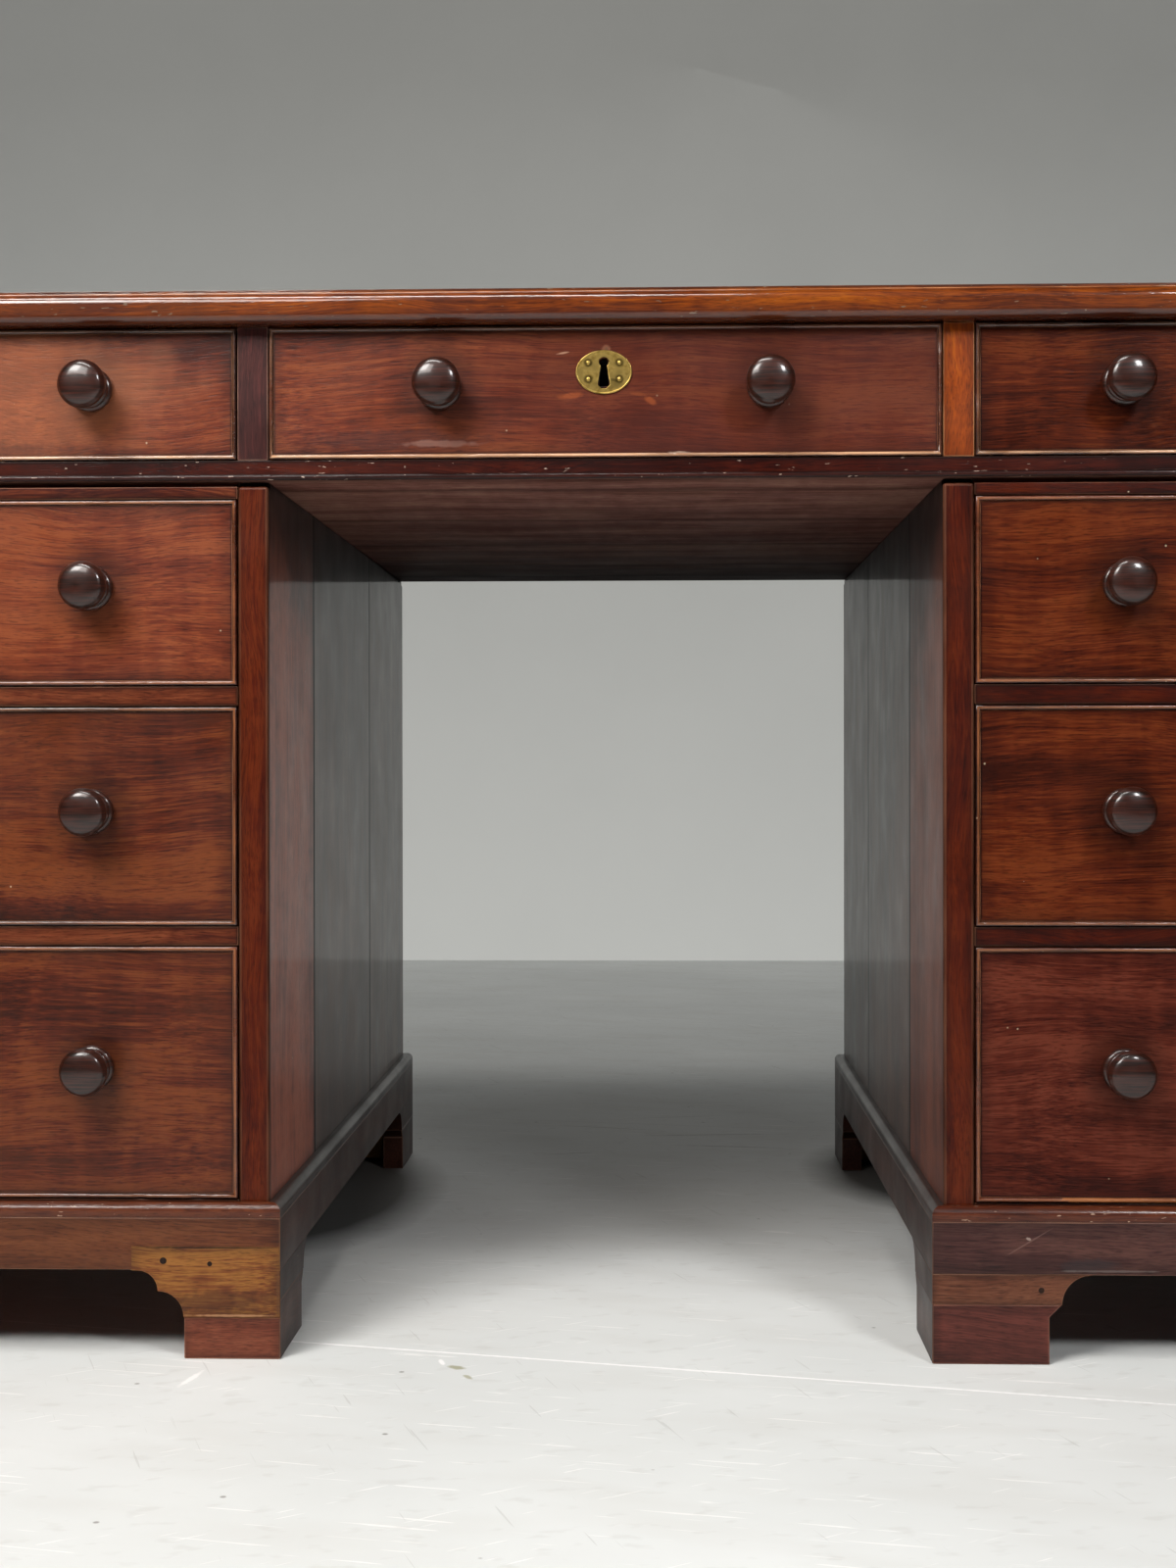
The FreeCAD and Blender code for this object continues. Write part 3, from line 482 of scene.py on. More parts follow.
# painted shade: a darker copy of the cap for the kneehole
CAP_PAINTED_SHADE = wood(
    "polished_mahogany_inner_plinth_cap_painted_shade", "170c09", "261511", "35201a", "6e5142", grime_width=5.0,
    wear=0.4, coat=0.25, coat_roughness=0.12, shine=0.12,
)
RENEWED = wood(
    "polished_mahogany_golden_mend", "32170a", "6a3718", "8d5c28", "c9a070", grime="1c0f08",
    roughness=0.5, grime_width=9.0, wear=0.9, sun=0.0,
)
STRIP = wood(
    "polished_mahogany_let_in_strip", "3f1f12", "59301e", "6d422d", "bb8765", grime_width=5.0,
)
TIP = wood("polished_mahogany_foot_tip", "421d12", "632e1d", "773f2a", "b07a60", grime_width=7.0)
DARK_TIP = wood(
    "polished_mahogany_dark_foot_tip", "31140f", "4b221b", "5f2e25", "94604c", grime_width=7.0,
)
OAK = wood(
    "bare_oak_drawer_lining", "6f5236", "8f6d48", "a8875c", "c0a27a", grime="3b2a1a", roughness=0.68,
    coat=0.0, grime_width=12.0, grime_depth=0.4, wear=0.5, pore_depth=0.6,
)
PINE = wood(
    "bare_pine_carcase", "7a5632", "96703f", "ad8650", "b8945f", grime="3b2815", roughness=0.75,
    coat=0.0, grime_width=20.0, grime_depth=0.35, wear=0.2, pore_depth=0.1,
)
print("Woods:", len([material for material in bpy.data.materials if "mahogany" in material.name]))

# %% [markdown]
# ## What the cloth doesn't reach, and painted shade
#
# A duster goes over the middle of a board and misses the hollows, so old polish lies in a dark ring
# round each knob. Painted shade lies in a dark line along the top arris of the top's moulding and
# over its lower half, on the kneehole's sides under its ceiling, and on the ceiling further in.
# These are shades with a place of their own, so each one is measured: from the knob, by height on
# a board, or along the desk.

# %% Shades with a place
KNOB_SPREAD = 118.5 * MM    # from the middle of a front to either knob
KNOB_UP = 3.5 * MM          # how far the knobs stand above the middle of a front
RING_SHADE = "180a07"


def round_knobs(material):
    """Old polish, never reached by the cloth, lies in a dark ring round each knob."""
    tree = material.node_tree
    place = add(tree, "Attribute", {"attribute_name": "to_middle"}).outputs["Vector"]
    either = add(tree, "VectorMath", {"operation": "ABSOLUTE"}, {0: place})
    mirrored = add(tree, "SeparateXYZ", links={0: either.outputs[0]})
    height = add(tree, "SeparateXYZ", links={0: place})
    across = add(tree, "Math", {"operation": "SUBTRACT", 1: KNOB_SPREAD}, {0: mirrored.outputs[0]})
    over = add(tree, "Math", {"operation": "SUBTRACT", 1: KNOB_UP}, {0: height.outputs[2]})
    offset = add(tree, "CombineXYZ", links={"X": across.outputs[0], "Z": over.outputs[0]})
    away = add(tree, "VectorMath", {"operation": "LENGTH"}, {0: offset.outputs[0]})
    ring = add(
        tree, "MapRange",
        {"interpolation_type": "SMOOTHSTEP", "From Min": 17 * MM, "From Max": 42 * MM,
         "To Min": 1.0, "To Max": 0.0},
        {"Value": away.outputs["Value"]},
    )
    paint_over(material, ring.outputs[0], RING_SHADE, 0.5)


def painted_shade_by_height(material, level, reach, shade, strength):
    """Painted shade laid along a board, strongest at a level in mm above its middle."""
    tree = material.node_tree
    place = add(tree, "Attribute", {"attribute_name": "to_middle"}).outputs["Vector"]
    height = add(tree, "SeparateXYZ", links={0: place}).outputs[2]
    laid = add(tree, "Attribute", {"attribute_name": "grain"}).outputs["Vector"]
    waver = add(tree, "TexNoise", {"Scale": 1 / (40 * MM), "Detail": 4.0}, {"Vector": laid})
    moved = add(
        tree, "Math", {"operation": "MULTIPLY_ADD", 1: 3 * MM}, {0: waver.outputs["Fac"], 2: height}
    )
    off = add(tree, "Math", {"operation": "SUBTRACT", 1: (level + 1.5) * MM}, {0: moved.outputs[0]})
    away = add(tree, "Math", {"operation": "ABSOLUTE"}, {0: off.outputs[0]})
    band = add(
        tree, "MapRange",
        {"interpolation_type": "SMOOTHSTEP", "From Min": 0.0, "From Max": reach * MM,
         "To Min": 1.0, "To Max": 0.0},
        {"Value": away.outputs[0]},
    )
    paint_over(material, band.outputs[0], shade, strength)


def painted_shade_along(material, axis, start, end, shade, strength):
    """Painted shade that comes in evenly along one axis of the desk, between two places in metres."""
    tree = material.node_tree
    place = add(tree, "SeparateXYZ", links={0: add(tree, "TexCoord").outputs["Object"]})
    share = add(
        tree, "MapRange", {"From Min": start, "From Max": end}, {"Value": place.outputs[axis]}
    )
    paint_over(material, share.outputs[0], shade, strength)


for finish in (FRONT, LOW_FRONT_PAINTED_SHADE, DEEP_FRONT, PURPLE_FRONT):
    round_knobs(finish)
# painted shade on the top's moulding: a dark line at its top arris and a darker lower half
painted_shade_by_height(EDGE, 11.5, 1.5, "2c1208", 0.8)
painted_shade_by_height(EDGE, -11.0, 13.0, "3a150b", 0.7)
# painted shade on the kneehole's sides, darkest just under the ceiling
for finish in (SMOKY, SMOKY_FRONT, SMOKY_PAINTED_SHADE_RIGHT, SMOKY_PAINTED_SHADE_RIGHT_FRONT):
    painted_shade_by_height(finish, 268.0, 125.0, "0a0303", 0.95)
# painted shade on the kneehole's ceiling, darker further in
painted_shade_along(SOFFIT, "Y", -0.3, 0.35, "120505", 0.93)
print("Nodes of a drawer front's wood:", len(FRONT.node_tree.nodes))

# %% [markdown]
# ## Knocks, scratches and stains
#
# Random noise gives even wear, yet an old piece is told by its single marks: a knock on the edge,
# a scratch on a plinth, the pale trace of something once fixed there. They could be drawn on an
# image, but a formula stays sharp at any distance. A mark is a soft oval at a measured place on
# one board, long and thin for a scratch, and it is laid on a copy of the finish so that only that
# board carries it.

# %% How a mark is made
def nick(material, shade, strength, rarity=0.7):
    """Short scratches and knocks, bright or dark, along a handled edge."""
    tree = material.node_tree
    laid = add(tree, "Attribute", {"attribute_name": "grain"}).outputs["Vector"]
    knocks = stretched_noise(tree, laid, (9, 2.2, 2.2), 3.0)
    sharp = add(
        tree, "MapRange", {"From Min": rarity, "From Max": rarity + 0.03}, {"Value": knocks}
    )
    paint_over(material, sharp.outputs[0], shade, strength)


def mark(material, place, size, shade, strength, turn=0.0, flat=False, ragged=0.9):
    """A soft oval: place and half size in mm, across and up a board, or in X and Y where flat."""
    tree = material.node_tree
    across, up = place
    wide, high = size
    if flat:
        point = add(tree, "TexCoord").outputs["Object"]
        axis = "Z_AXIS"
        middle = (across, up, 0)
        shrink = (1 / wide, 1 / high, 0)
    else:
        point = add(tree, "Attribute", {"attribute_name": "to_middle"}).outputs["Vector"]
        axis = "Y_AXIS"
        middle = (across, 0, up)
        shrink = (1 / wide, 0, 1 / high)
    # the oval's edge is uneven in lumps, which are larger where the mark is
    lump = max(6.0, min(size) * 0.6)
    waver = add(tree, "TexNoise", {"Scale": 1 / (lump * MM), "Detail": 2.0}, {"Vector": point})
    offset = add(
        tree, "VectorMath", {"operation": "SUBTRACT", 1: tuple(part * MM for part in middle)}, {0: point}
    )
    turned_back = add(
        tree, "VectorRotate", {"rotation_type": axis, "Angle": math.radians(turn)},
        {"Vector": offset.outputs[0]},
    )
    shrunk = add(
        tree, "VectorMath", {"operation": "MULTIPLY", 1: tuple(part / MM for part in shrink)},
        {0: turned_back.outputs[0]},
    )
    away = add(tree, "VectorMath", {"operation": "LENGTH"}, {0: shrunk.outputs[0]})
    uneven = add(
        tree, "Math", {"operation": "MULTIPLY_ADD", 1: ragged},
        {0: waver.outputs["Fac"], 2: away.outputs["Value"]},
    )
    inside = add(
        tree, "MapRange", {"From Min": 1.0, "From Max": 1.45, "To Min": 1.0, "To Max": 0.0},
        {"Value": uneven.outputs[0]},
    )
    paint_over(material, inside.outputs[0], shade, strength)


def marked(material, name, marks=()):
    """A copy of a finish with single marks, each as (place, half size, colour, strength, turn)."""
    copy = material.copy()
    copy.name = name
    for place, size, shade, strength, turn in marks:
        mark(copy, place, size, shade, strength, turn)
    return copy


nick(EDGE, "e6c8a8", 0.8)
nick(EDGE, "2a120a", 0.8, 0.69)
nick(CAP, "c8a890", 0.6, 0.682)
FRIEZE_RAIL = marked(DARK_RAIL, "polished_mahogany_frieze_rail")
nick(FRIEZE_RAIL, "c9b0a0", 0.7, 0.685)
print("Nicked:", EDGE.name, CAP.name, FRIEZE_RAIL.name)

# %% Boards with marks of their own
LOCK_MARKS = (
    ((110, 0), (230, 80), "42170d", 0.6, 0),            # painted shade: the right half of this front is darker
    ((-24, -3), (11, 2.8), "9a4e26", 0.42, 6),          # rubbed by keys, left and right
    ((34, -7), (6, 2.8), "9a4e26", 0.45, -24),
    ((25, -2), (7, 1.8), "8a4622", 0.35, -8),
    ((0, 12.5), (8, 14), "050303", 1.0, 0),             # painted shade seen through the keyhole
    ((2, 31), (1.6, 1.6), "120705", 0.95, 0),           # a pin hole in a rubbed spot
    ((2, 30), (4.5, 4.5), "a9785c", 0.35, 45),
    ((-30, 28), (5, 0.9), "c39a80", 0.5, 10),
    ((-34, 3), (13, 0.5), "47201a", 0.7, -28),          # two scratches that run to the plate
    ((36, 6), (14, 0.5), "47201a", 0.7, 28),
    ((-150, -34), (70, 9), "3a1f1c", 0.55, 0),          # a stain along the lower edge
    ((-120, -37), (34, 3), "9a7468", 0.35, 0),
    ((56, -45), (11, 1.6), "cdb29c", 0.7, 0),
)
LOCK_FRONT = marked(FRONT, "polished_mahogany_lock_front", LOCK_MARKS)
# a pale patch, part bleach and part painted highlight, and a darker band along the foot
PALE_FRONT = marked(FRONT, "polished_mahogany_bleached_front", (
    ((60, -5), (150, 52), "b5714c", 0.26, 2),
    ((-20, -40), (150, 7), "33191a", 0.4, 0),
))
DARK_PLINTH_FRONT = marked(PLINTH_RIGHT, "polished_mahogany_scratched_plinth", (
    ((-187, 5), (21, 0.7), "7a5e56", 0.4, 31),
    ((-188, 7), (2.2, 1.2), "a8958b", 0.6, -20),
    ((-145, -12), (24, 6), "2a2426", 0.6, 0),
    ((-130, -16), (40, 1.0), "6e625e", 0.5, 0),
))
print("Marks on the lock's front:", len(LOCK_MARKS))

# %% [markdown]
# ## Boards with eased arrises
#
# No joiner leaves a sharp corner. A single pass of a plane takes off the arris, and years of
# hands do the rest, so each edge shows as a thin line of light. A bevel modifier could do this to
# a whole node, but it would also weld neighbouring boards and bevel the seams away. So the boards
# are told apart first. The solids of a node come one after another, and a solid is complete when
# every edge met so far has two faces. Each is joined at its own corners only and bevelled by
# itself, and the seams show as they do on the desk.

# %% Tell the boards apart and ease them
ARRIS = 0.7 * MM          # width of an ordinary eased arris
SHARP = math.radians(28)  # edges that turn more than this are arrises


def solids_of(name):
    """The closed solids of a CAD node, each as a list of faces, a face as a list of corners."""
    mesh = frame["nodes"][name].data
    solids, faces, unmatched = [], [], set()
    for polygon in mesh.polygons:
        corners = [tuple(round(c, 7) for c in mesh.vertices[i].co) for i in polygon.vertices]
        faces.append(corners)
        for start, end in zip(corners, corners[1:] + corners[:1]):
            unmatched ^= {frozenset((start, end))}
        if not unmatched:
            solids.append(faces)
            faces = []
    return solids


def eased_solid(faces, arris):
    """One solid with joined corners and bevelled edges; its bevel faces are tagged."""
    solid = bmesh.new()
    corners = {}
    for face in faces:
        for corner in face:
            if corner not in corners:
                corners[corner] = solid.verts.new(corner)
        solid.faces.new([corners[corner] for corner in face])
    bmesh.ops.dissolve_limit(
        solid, angle_limit=math.radians(1), verts=solid.verts[:], edges=solid.edges[:]
    )
    edges = [edge for edge in solid.edges if edge.calc_face_angle(0) > SHARP]
    if edges:
        cut = bmesh.ops.bevel(
            solid, geom=edges, offset=arris, segments=2, profile=0.5, affect="EDGES",
            clamp_overlap=True,
        )
        for face in cut["faces"]:
            face.tag = True
    return solid


print("Boards in the left plinth:", len(solids_of("left_plinth")))

# %% [markdown]
# ## One piece from many boards
#
# A pedestal side is three boards glued edge to edge, and a frame is a dozen. Separate objects
# would be many, so the boards are joined into one mesh. What makes each board itself goes onto
# the mesh as named fields, which its wood reads: on the points its place along the grain, its
# distance from the middle, its half size and its number, and on the faces whether they are
# arrises. The numbers are drawn from the name of the piece, so they are the same each time.

# %% Join boards
def measure(solid, along):
    """The middle and half size of a board, and its axes with the one along the grain first."""
    low = Vector([min(v.co[axis] for v in solid.verts) for axis in range(3)])
    high = Vector([max(v.co[axis] for v in solid.verts) for axis in range(3)])
    middle, half = (low + high) / 2, (high - low) / 2
    longest = "XYZ".index(along) if along else max(range(3), key=lambda axis: half[axis])
    return middle, half, [longest] + [axis for axis in range(3) if axis != longest]


def fielded_mesh(name, points, faces, fields, worn):
    """A mesh that carries the fields of its boards, and which of its faces are arrises."""
    mesh = bpy.data.meshes.new(name)
    mesh.from_pydata(points, [], faces)
    for field, values in fields.items():
        kind, reading = ("FLOAT", "value") if field == "board" else ("FLOAT_VECTOR", "vector")
        mesh.attributes.new(field, kind, "POINT").data.foreach_set(reading, values)
    mesh.attributes.new("arris", "FLOAT", "FACE").data.foreach_set("value", worn)
    return mesh


def joinery(name, boards, body, replaced=()):
    """One piece from (solid, material, way of the grain) triples, with what the woods read."""
    points, faces, slots, finishes = [], [], [], []
    fields = {"grain": [], "to_middle": [], "half_size": [], "board": []}
    worn = []
    chance = random.Random(name)
    for solid, finish, along in boards:
        middle, half, axes = measure(solid, along)
        offset = Vector([chance.uniform(0, 9) for _ in range(3)])
        number = chance.random()
        start = len(points)
        if finish not in finishes:
            finishes.append(finish)
        solid.verts.index_update()
        for vertex in solid.verts:
            points.append(vertex.co[:])
            laid = Vector([vertex.co[axis] for axis in axes])
            fields["grain"] += (laid + offset)[:]
            fields["to_middle"] += (vertex.co - middle)[:]
            fields["half_size"] += half[:]
            fields["board"].append(number)
        for face in solid.faces:
            faces.append([start + vertex.index for vertex in face.verts])
            slots.append(finishes.index(finish))
            worn.append(1.0 if face.tag else 0.0)
        solid.free()
    mesh = fielded_mesh(name, points, faces, fields, worn)
    for finish in finishes:
        mesh.materials.append(finish)
    mesh.polygons.foreach_set("material_index", slots)
    mesh.shade_smooth()
    mesh.set_sharp_from_angle(angle=math.radians(50))
    piece = bpy.data.objects.new(name, mesh)
    bpy.context.scene.collection.objects.link(piece)
    piece.modifiers.new("flat_faces", "WEIGHTED_NORMAL").keep_sharp = True
    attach(piece, body)
    if replaced:
        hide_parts(*replaced)
    return piece


print("Fields on the points: grain, to_middle, half_size, board; on the faces: arris")

# %% Dress a node
BODIES = frame["record"]["behaviour"]["bodies"]
BODY_OF = {node: body for body, nodes in BODIES.items() for node in nodes}


def dress(node, finish, along=None, arris=ARRIS, choose=None):
    """Stand an eased, polished piece in for a CAD node; choose can give one solid another finish."""
    boards = []
    for faces in solids_of(node):
        solid = eased_solid(faces, arris)
        middle = sum((v.co for v in solid.verts), Vector()) / len(solid.verts)
        boards.append((solid, (choose and choose(middle)) or finish, along))
    piece = joinery(node + "_boards", boards, BODY_OF[node], [node])
    return piece


# %% [markdown]
# ## The carcase
#
# Rails and plinths run level, stiles and panels stand upright, and the grain follows the length
# of each board. A few boards differ from their neighbours: the two dividers of the frieze, the
# front board of each side of the kneehole, the foot tips, the bracket at the right pedestal's
# inner foot, which was let in from lighter wood, and the plinths' boards and caps at the kneehole,
# which carry painted shade. Some faces differ from the rest of their board: under the rails is the
# bare wood of the kneehole's ceiling, and the backs of the plinths, the rear feet's fronts and the
# feet's faces to the kneehole carry painted shade. So a finish is chosen twice, once by where a
# board is and once by where a face looks.

# %% Boards and faces that differ
kneehole_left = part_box("left_inner_side")[1].x
kneehole_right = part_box("right_inner_side")[0].x
front_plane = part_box("left_inner_side")[0].y
FRONT_BOARD = 210 * MM     # the middle of a side's front board is nearer to the front than this
KNEEHOLE_ARRIS = 2.2 * MM  # knees and shoes have rounded these
OUTER_ARRIS = 0.6 * MM
STRIP_WIDE = 90 * MM       # the let-in strip is nearer to the corner of the plinth than this
STRIP_HIGH = 62 * MM       # and its middle is lower than this
RAIL_LOW = 70 * MM         # the middle of the plinth's rail is higher than this


def divider_finish(middle):
    """Plum-dark on the left, bleached on the right; the partitions behind are pine."""
    if abs(abs(middle.x) - kneehole_right) > 30 * MM:
        return PINE
    return PLUM if middle.x < 0 else BLEACHED


def right_plinth_finish(middle):
    """The inner side carries painted shade, the front bracket at the kneehole is a lighter strip, and
    the board over it is scratched.
    """
    if middle.x < kneehole_right + 5 * MM:
        return PLINTH_PAINTED_SHADE
    depth = middle.y - front_plane
    if middle.x - kneehole_right < STRIP_WIDE and middle.z < STRIP_HIGH and depth < 20 * MM:
        return STRIP
    return DARK_PLINTH_FRONT if middle.z > RAIL_LOW and depth < 10 * MM else None


def refinish(piece, finish, wanted):
    """Give the faces that a test picks another finish."""
    piece.data.materials.append(finish)
    for face in piece.data.polygons:
        if wanted(face):
            face.material_index = len(piece.data.materials) - 1


def looks_inward(face):
    """Whether a face looks back to the middle of the desk, along Y, from its own side."""
    return face.normal.y * face.center.y < -0.5 * abs(face.center.y)


def looks_to_kneehole(face):
    """Whether a face looks, at least a little, to the middle of the desk along X."""
    return face.normal.x * face.center.x < -0.3 * abs(face.center.x)


print("The kneehole is", round(kneehole_right - kneehole_left, 3), "m wide")

# %% Dress the top and the frieze
dress("top_board", EDGE, arris=0.4 * MM)
dress("frieze_ends", RAIL)
dress("frieze_dividers", PLUM, along="Z", choose=divider_finish)
rails = dress("frieze_rails", FRIEZE_RAIL, arris=0.5 * MM)
refinish(rails, SOFFIT, lambda face: face.normal.z < -0.9)
dress("frieze_bottom_boards", SOFFIT)
print("Faces of the frieze's rails:", len(rails.data.polygons))

# %% Dress the pedestals
KNEEHOLE_WOODS = {"left": (SMOKY, SMOKY_FRONT), "right": (SMOKY_PAINTED_SHADE_RIGHT, SMOKY_PAINTED_SHADE_RIGHT_FRONT)}
for column in COLUMNS:
    for side, (panel, first), arris in (
        ("_inner_side", KNEEHOLE_WOODS[column], KNEEHOLE_ARRIS),
        ("_outer_side", (RAIL, RAIL), OUTER_ARRIS),
    ):
        boards = dress(
            column + side, panel, along="Z", arris=arris,
            choose=lambda middle: first if middle.y < front_plane + FRONT_BOARD else panel,
        )
        refinish(boards, STILE, lambda face: abs(face.center.y) > -front_plane - 2 * MM)
    dress(column + "_frame", STILE if column == "right" else RAIL, along="X")
print("Arrises at the kneehole and outside:", KNEEHOLE_ARRIS, "and", OUTER_ARRIS, "m")

# %% Dress the plinths, the feet and the hidden parts
# the left plinth's board at the kneehole carries painted shade
left_plinth = dress(
    "left_plinth", PLINTH_LEFT,
    choose=lambda middle: PLINTH_PAINTED_SHADE if middle.x > kneehole_left - 5 * MM else None,
)
right_plinth = dress("right_plinth", PLINTH_RIGHT, choose=right_plinth_finish)
# painted shade on the plinths' backs
for plinth in (left_plinth, right_plinth):
    refinish(plinth, PLINTH_PAINTED_SHADE, looks_inward)
# painted shade on the caps at the kneehole
dress(
    "plinth_caps", CAP, arris=0.5 * MM,
    choose=lambda middle: CAP_PAINTED_SHADE if abs(middle.x) < kneehole_right + 15 * MM else None,
)
tips = dress("foot_tips", TIP, arris=1.0 * MM, choose=lambda middle: middle.x > 0 and DARK_TIP)
# painted shade on the rear feet's fronts and on the feet's faces to the kneehole
refinish(tips, PLINTH_PAINTED_SHADE, lambda face: face.normal.y < -0.3 and face.center.y > 0)
refinish(tips, PLINTH_PAINTED_SHADE, looks_to_kneehole)
for node in ("left_dustboards", "right_dustboards", "glue_blocks", "drawer_stops"):
    dress(node, PINE)

# %% [markdown]
# ## Cock beads
#
# A cock bead is a thin strip planted round a drawer front. It stands proud to save the veneer, so
# it takes every knock: its crest is rubbed pale, and here and there a splinter has gone. Those of
# the frieze are sheltered by the top, and only their lower length is rubbed, where hands pull.
#
# A curve with a round bevel would make such a moulding, but it can't be dented or mitred sharply.
# So one rounded section is swept along each side by hand. The corners mitre by themselves,
# because each point of the section runs on to the line where the next side's point meets it.

# %% Woods of the beads
BEAD_WIDE = 3.0 * MM
BEAD_PROUD = 2.0 * MM
BEAD_STEP = 6.0 * MM      # how closely a bead can be dented
BEAD = wood(
    "polished_mahogany_cock_bead", "1e0a06", "351208", "552616", "a9683c", grime_width=1.0,
    grime_depth=0.2, wear=0.5, roughness=0.33, shine=0.3, coat=0.7,
)
SHELTERED_BEAD = wood(
    "polished_mahogany_sheltered_bead", "1e0a06", "34130b", "4c2216", "a97248", grime_width=1.0,
    grime_depth=0.2, wear=0.25, roughness=0.3, shine=0.3, coat=1.0,
)
RUBBED_BEAD = wood(
    "rubbed_mahogany_bead", "3a1c10", "5a3018", "7a4a2c", "cf9f78", grime_width=1.0,
    grime_depth=0.1, wear=0.9, roughness=0.3, shine=0.3, coat=1.0,
)
NEW_BEAD = wood(
    "polished_mahogany_new_bead", "62331b", "864c28", "9a6036", "a87048", grime_width=1.0,
    grime_depth=0.1, wear=0.4,
)
print("A bead is", BEAD_WIDE / MM, "mm wide and stands", BEAD_PROUD / MM, "mm proud")

# %% Sweep a bead round a front
BEAD_BACK = 4.0 * MM      # how far the section's outer foot is sunk behind the front
BEAD_STEPS = 8            # steps of the half round
CREST = range(4, 7)       # the strips of the section that are its crest


def bead_section():
    """Points of the bead's section: how far in from the outer edge, and how far proud."""
    arc = [math.pi * step / BEAD_STEPS for step in range(BEAD_STEPS + 1)]
    crest = [
        (BEAD_WIDE / 2 * (1 - math.cos(a)), BEAD_PROUD * (0.35 + 0.65 * math.sin(a))) for a in arc
    ]
    return [(0.0, -BEAD_BACK)] + crest + [(BEAD_WIDE, -1.0 * MM)]


def dent(distance, side, seed):
    """Share of the bead's height that is missing at a place along it, in metres."""
    soft = noise.noise(Vector((distance * 38, side * 7.3, seed)))
    chip = noise.noise(Vector((distance * 95, side * 3.1, seed + 40)))
    return max(0.0, soft) * 0.22 + (0.65 if chip > 0.56 else 0.0)


def cock_bead(name, low, high, face_y, way, body, seed, finish):
    """The bead round one drawer front, whose outer corners are low and high."""
    half_x, half_z = (high.x - low.x) / 2, (high.z - low.z) / 2
    centre = (low + high) / 2
    bead = bmesh.new()
    crest = bead.faces.layers.int.new("crest")
    for side, (run, drop, turn) in enumerate(
        ((half_x, half_z, 0), (half_z, half_x, 1), (half_x, half_z, 2), (half_z, half_x, 3))
    ):
        count = max(8, round(2 * run / BEAD_STEP))
        rows = []
        for index in range(count + 1):
            share = 2 * index / count - 1
            worn = dent(share * run, side, seed) if 0 < index < count else 0.0
            row = []
            for inward, proud in bead_section():
                along, out = share * (run - inward), drop - inward
                x, z = ((along, out), (out, -along), (-along, -out), (-out, along))[turn]
                height = proud * (1 - worn) if proud > 0 else proud
                row.append(bead.verts.new((centre.x + x, face_y + way * height, centre.z + z)))
            rows.append(row)
        for first, second in zip(rows, rows[1:]):
            for index, (a, b) in enumerate(zip(first, first[1:])):
                face = bead.faces.new((a, b, second[index + 1], second[index]))
                face[crest] = int(index in CREST)
    bmesh.ops.remove_doubles(bead, verts=bead.verts[:], dist=0.01 * MM)
    bmesh.ops.recalc_face_normals(bead, faces=bead.faces[:])
    for face in bead.faces:
        face.tag = bool(face[crest])
    return joinery(name, [(bead, finish, None)], body)


print("Points of a bead's section:", len(bead_section()))

# %% [markdown]
# ## Turned knobs
#
# Each knob is one turning: a collar against the drawer, a second bead, a hollow waist, and a flat
# bun with a tight rim. Stacked spheres and cylinders would show a seam at each joint. On the lathe
# a profile is brought against turning wood, and a mesh is made the same way: the half outline is
# spun about the knob's axis. Beads, rim and dome are all short arcs of sine and cosine.

# %% Turned knob
KNOB_LONG = 35.0      # mm from the drawer front to the crown
KNOB_WIDEST = 27.0    # mm from the drawer front to the widest ring
KNOB_RADIUS = 17.5    # of the widest ring, in mm
COLLAR_RADIUS = 16.5
SECOND_RADIUS = 14.9
WAIST_RADIUS = 11.6
KNOB_TURNS = 64


def half_round(height, radius, reach, start=-80, end=80):
    """A turned bead: its middle's height, its outermost radius and half its own width."""
    turns = [math.radians(start + (end - start) * step / 8) for step in range(9)]
    return [(radius - reach + reach * math.cos(a), height + reach * math.sin(a)) for a in turns]


def knob_outline():
    """Radius and height in mm, from the drawer front out to the crown."""
    collar = [(15.4, 0.0)] + half_round(3.2, COLLAR_RADIUS, 3.2, -60, 80)
    second = [(13.5, 6.6)] + half_round(9.2, SECOND_RADIUS, 2.3)
    hollow = [(WAIST_RADIUS + 3.6 * (step / 6) ** 3, 12.2 + 1.6 * step) for step in range(7)]
    rim = [
        (KNOB_RADIUS - 4.3 + 4.3 * math.cos(a), KNOB_WIDEST + 4.4 * math.sin(a))
        for a in (math.radians(turn) for turn in range(-70, 51, 12))
    ]
    edge, start = rim[-1]
    dome = [
        (edge * math.cos(a), start + (KNOB_LONG - start) * math.sin(a))
        for a in (math.radians(turn) for turn in range(12, 90, 12))
    ]
    return collar + second + hollow + rim + dome + [(0.0, KNOB_LONG)]


def turned(name, outline, turns):
    """A mesh from an outline in mm spun about the Y axis, pointing to -Y."""
    shape = bmesh.new()
    points = [shape.verts.new((radius * MM, -height * MM, 0.0)) for radius, height in outline]
    edges = [shape.edges.new(pair) for pair in zip(points, points[1:])]
    bmesh.ops.spin(
        shape, geom=points + edges, cent=(0, 0, 0), axis=(0, 1, 0), angle=math.tau, steps=turns,
        use_merge=True,
    )
    bmesh.ops.remove_doubles(shape, verts=shape.verts[:], dist=0.005 * MM)
    bmesh.ops.recalc_face_normals(shape, faces=shape.faces[:])
    mesh = bpy.data.meshes.new(name)
    shape.to_mesh(mesh)
    shape.free()
    mesh.shade_smooth()
    return mesh


knob_mesh = turned("turned_knob", knob_outline(), KNOB_TURNS)
print("A knob has", len(knob_mesh.polygons), "faces")

# %% [markdown]
# ## Polish of the knobs
#
# A knob is turned mahogany that hands have waxed almost black. Its grain runs level across it, so
# faint lines show on the bun, and the wax leaves it glossy in some places and dull in others. All
# knobs share one mesh and one material, and each has a number of its own that moves its grain.

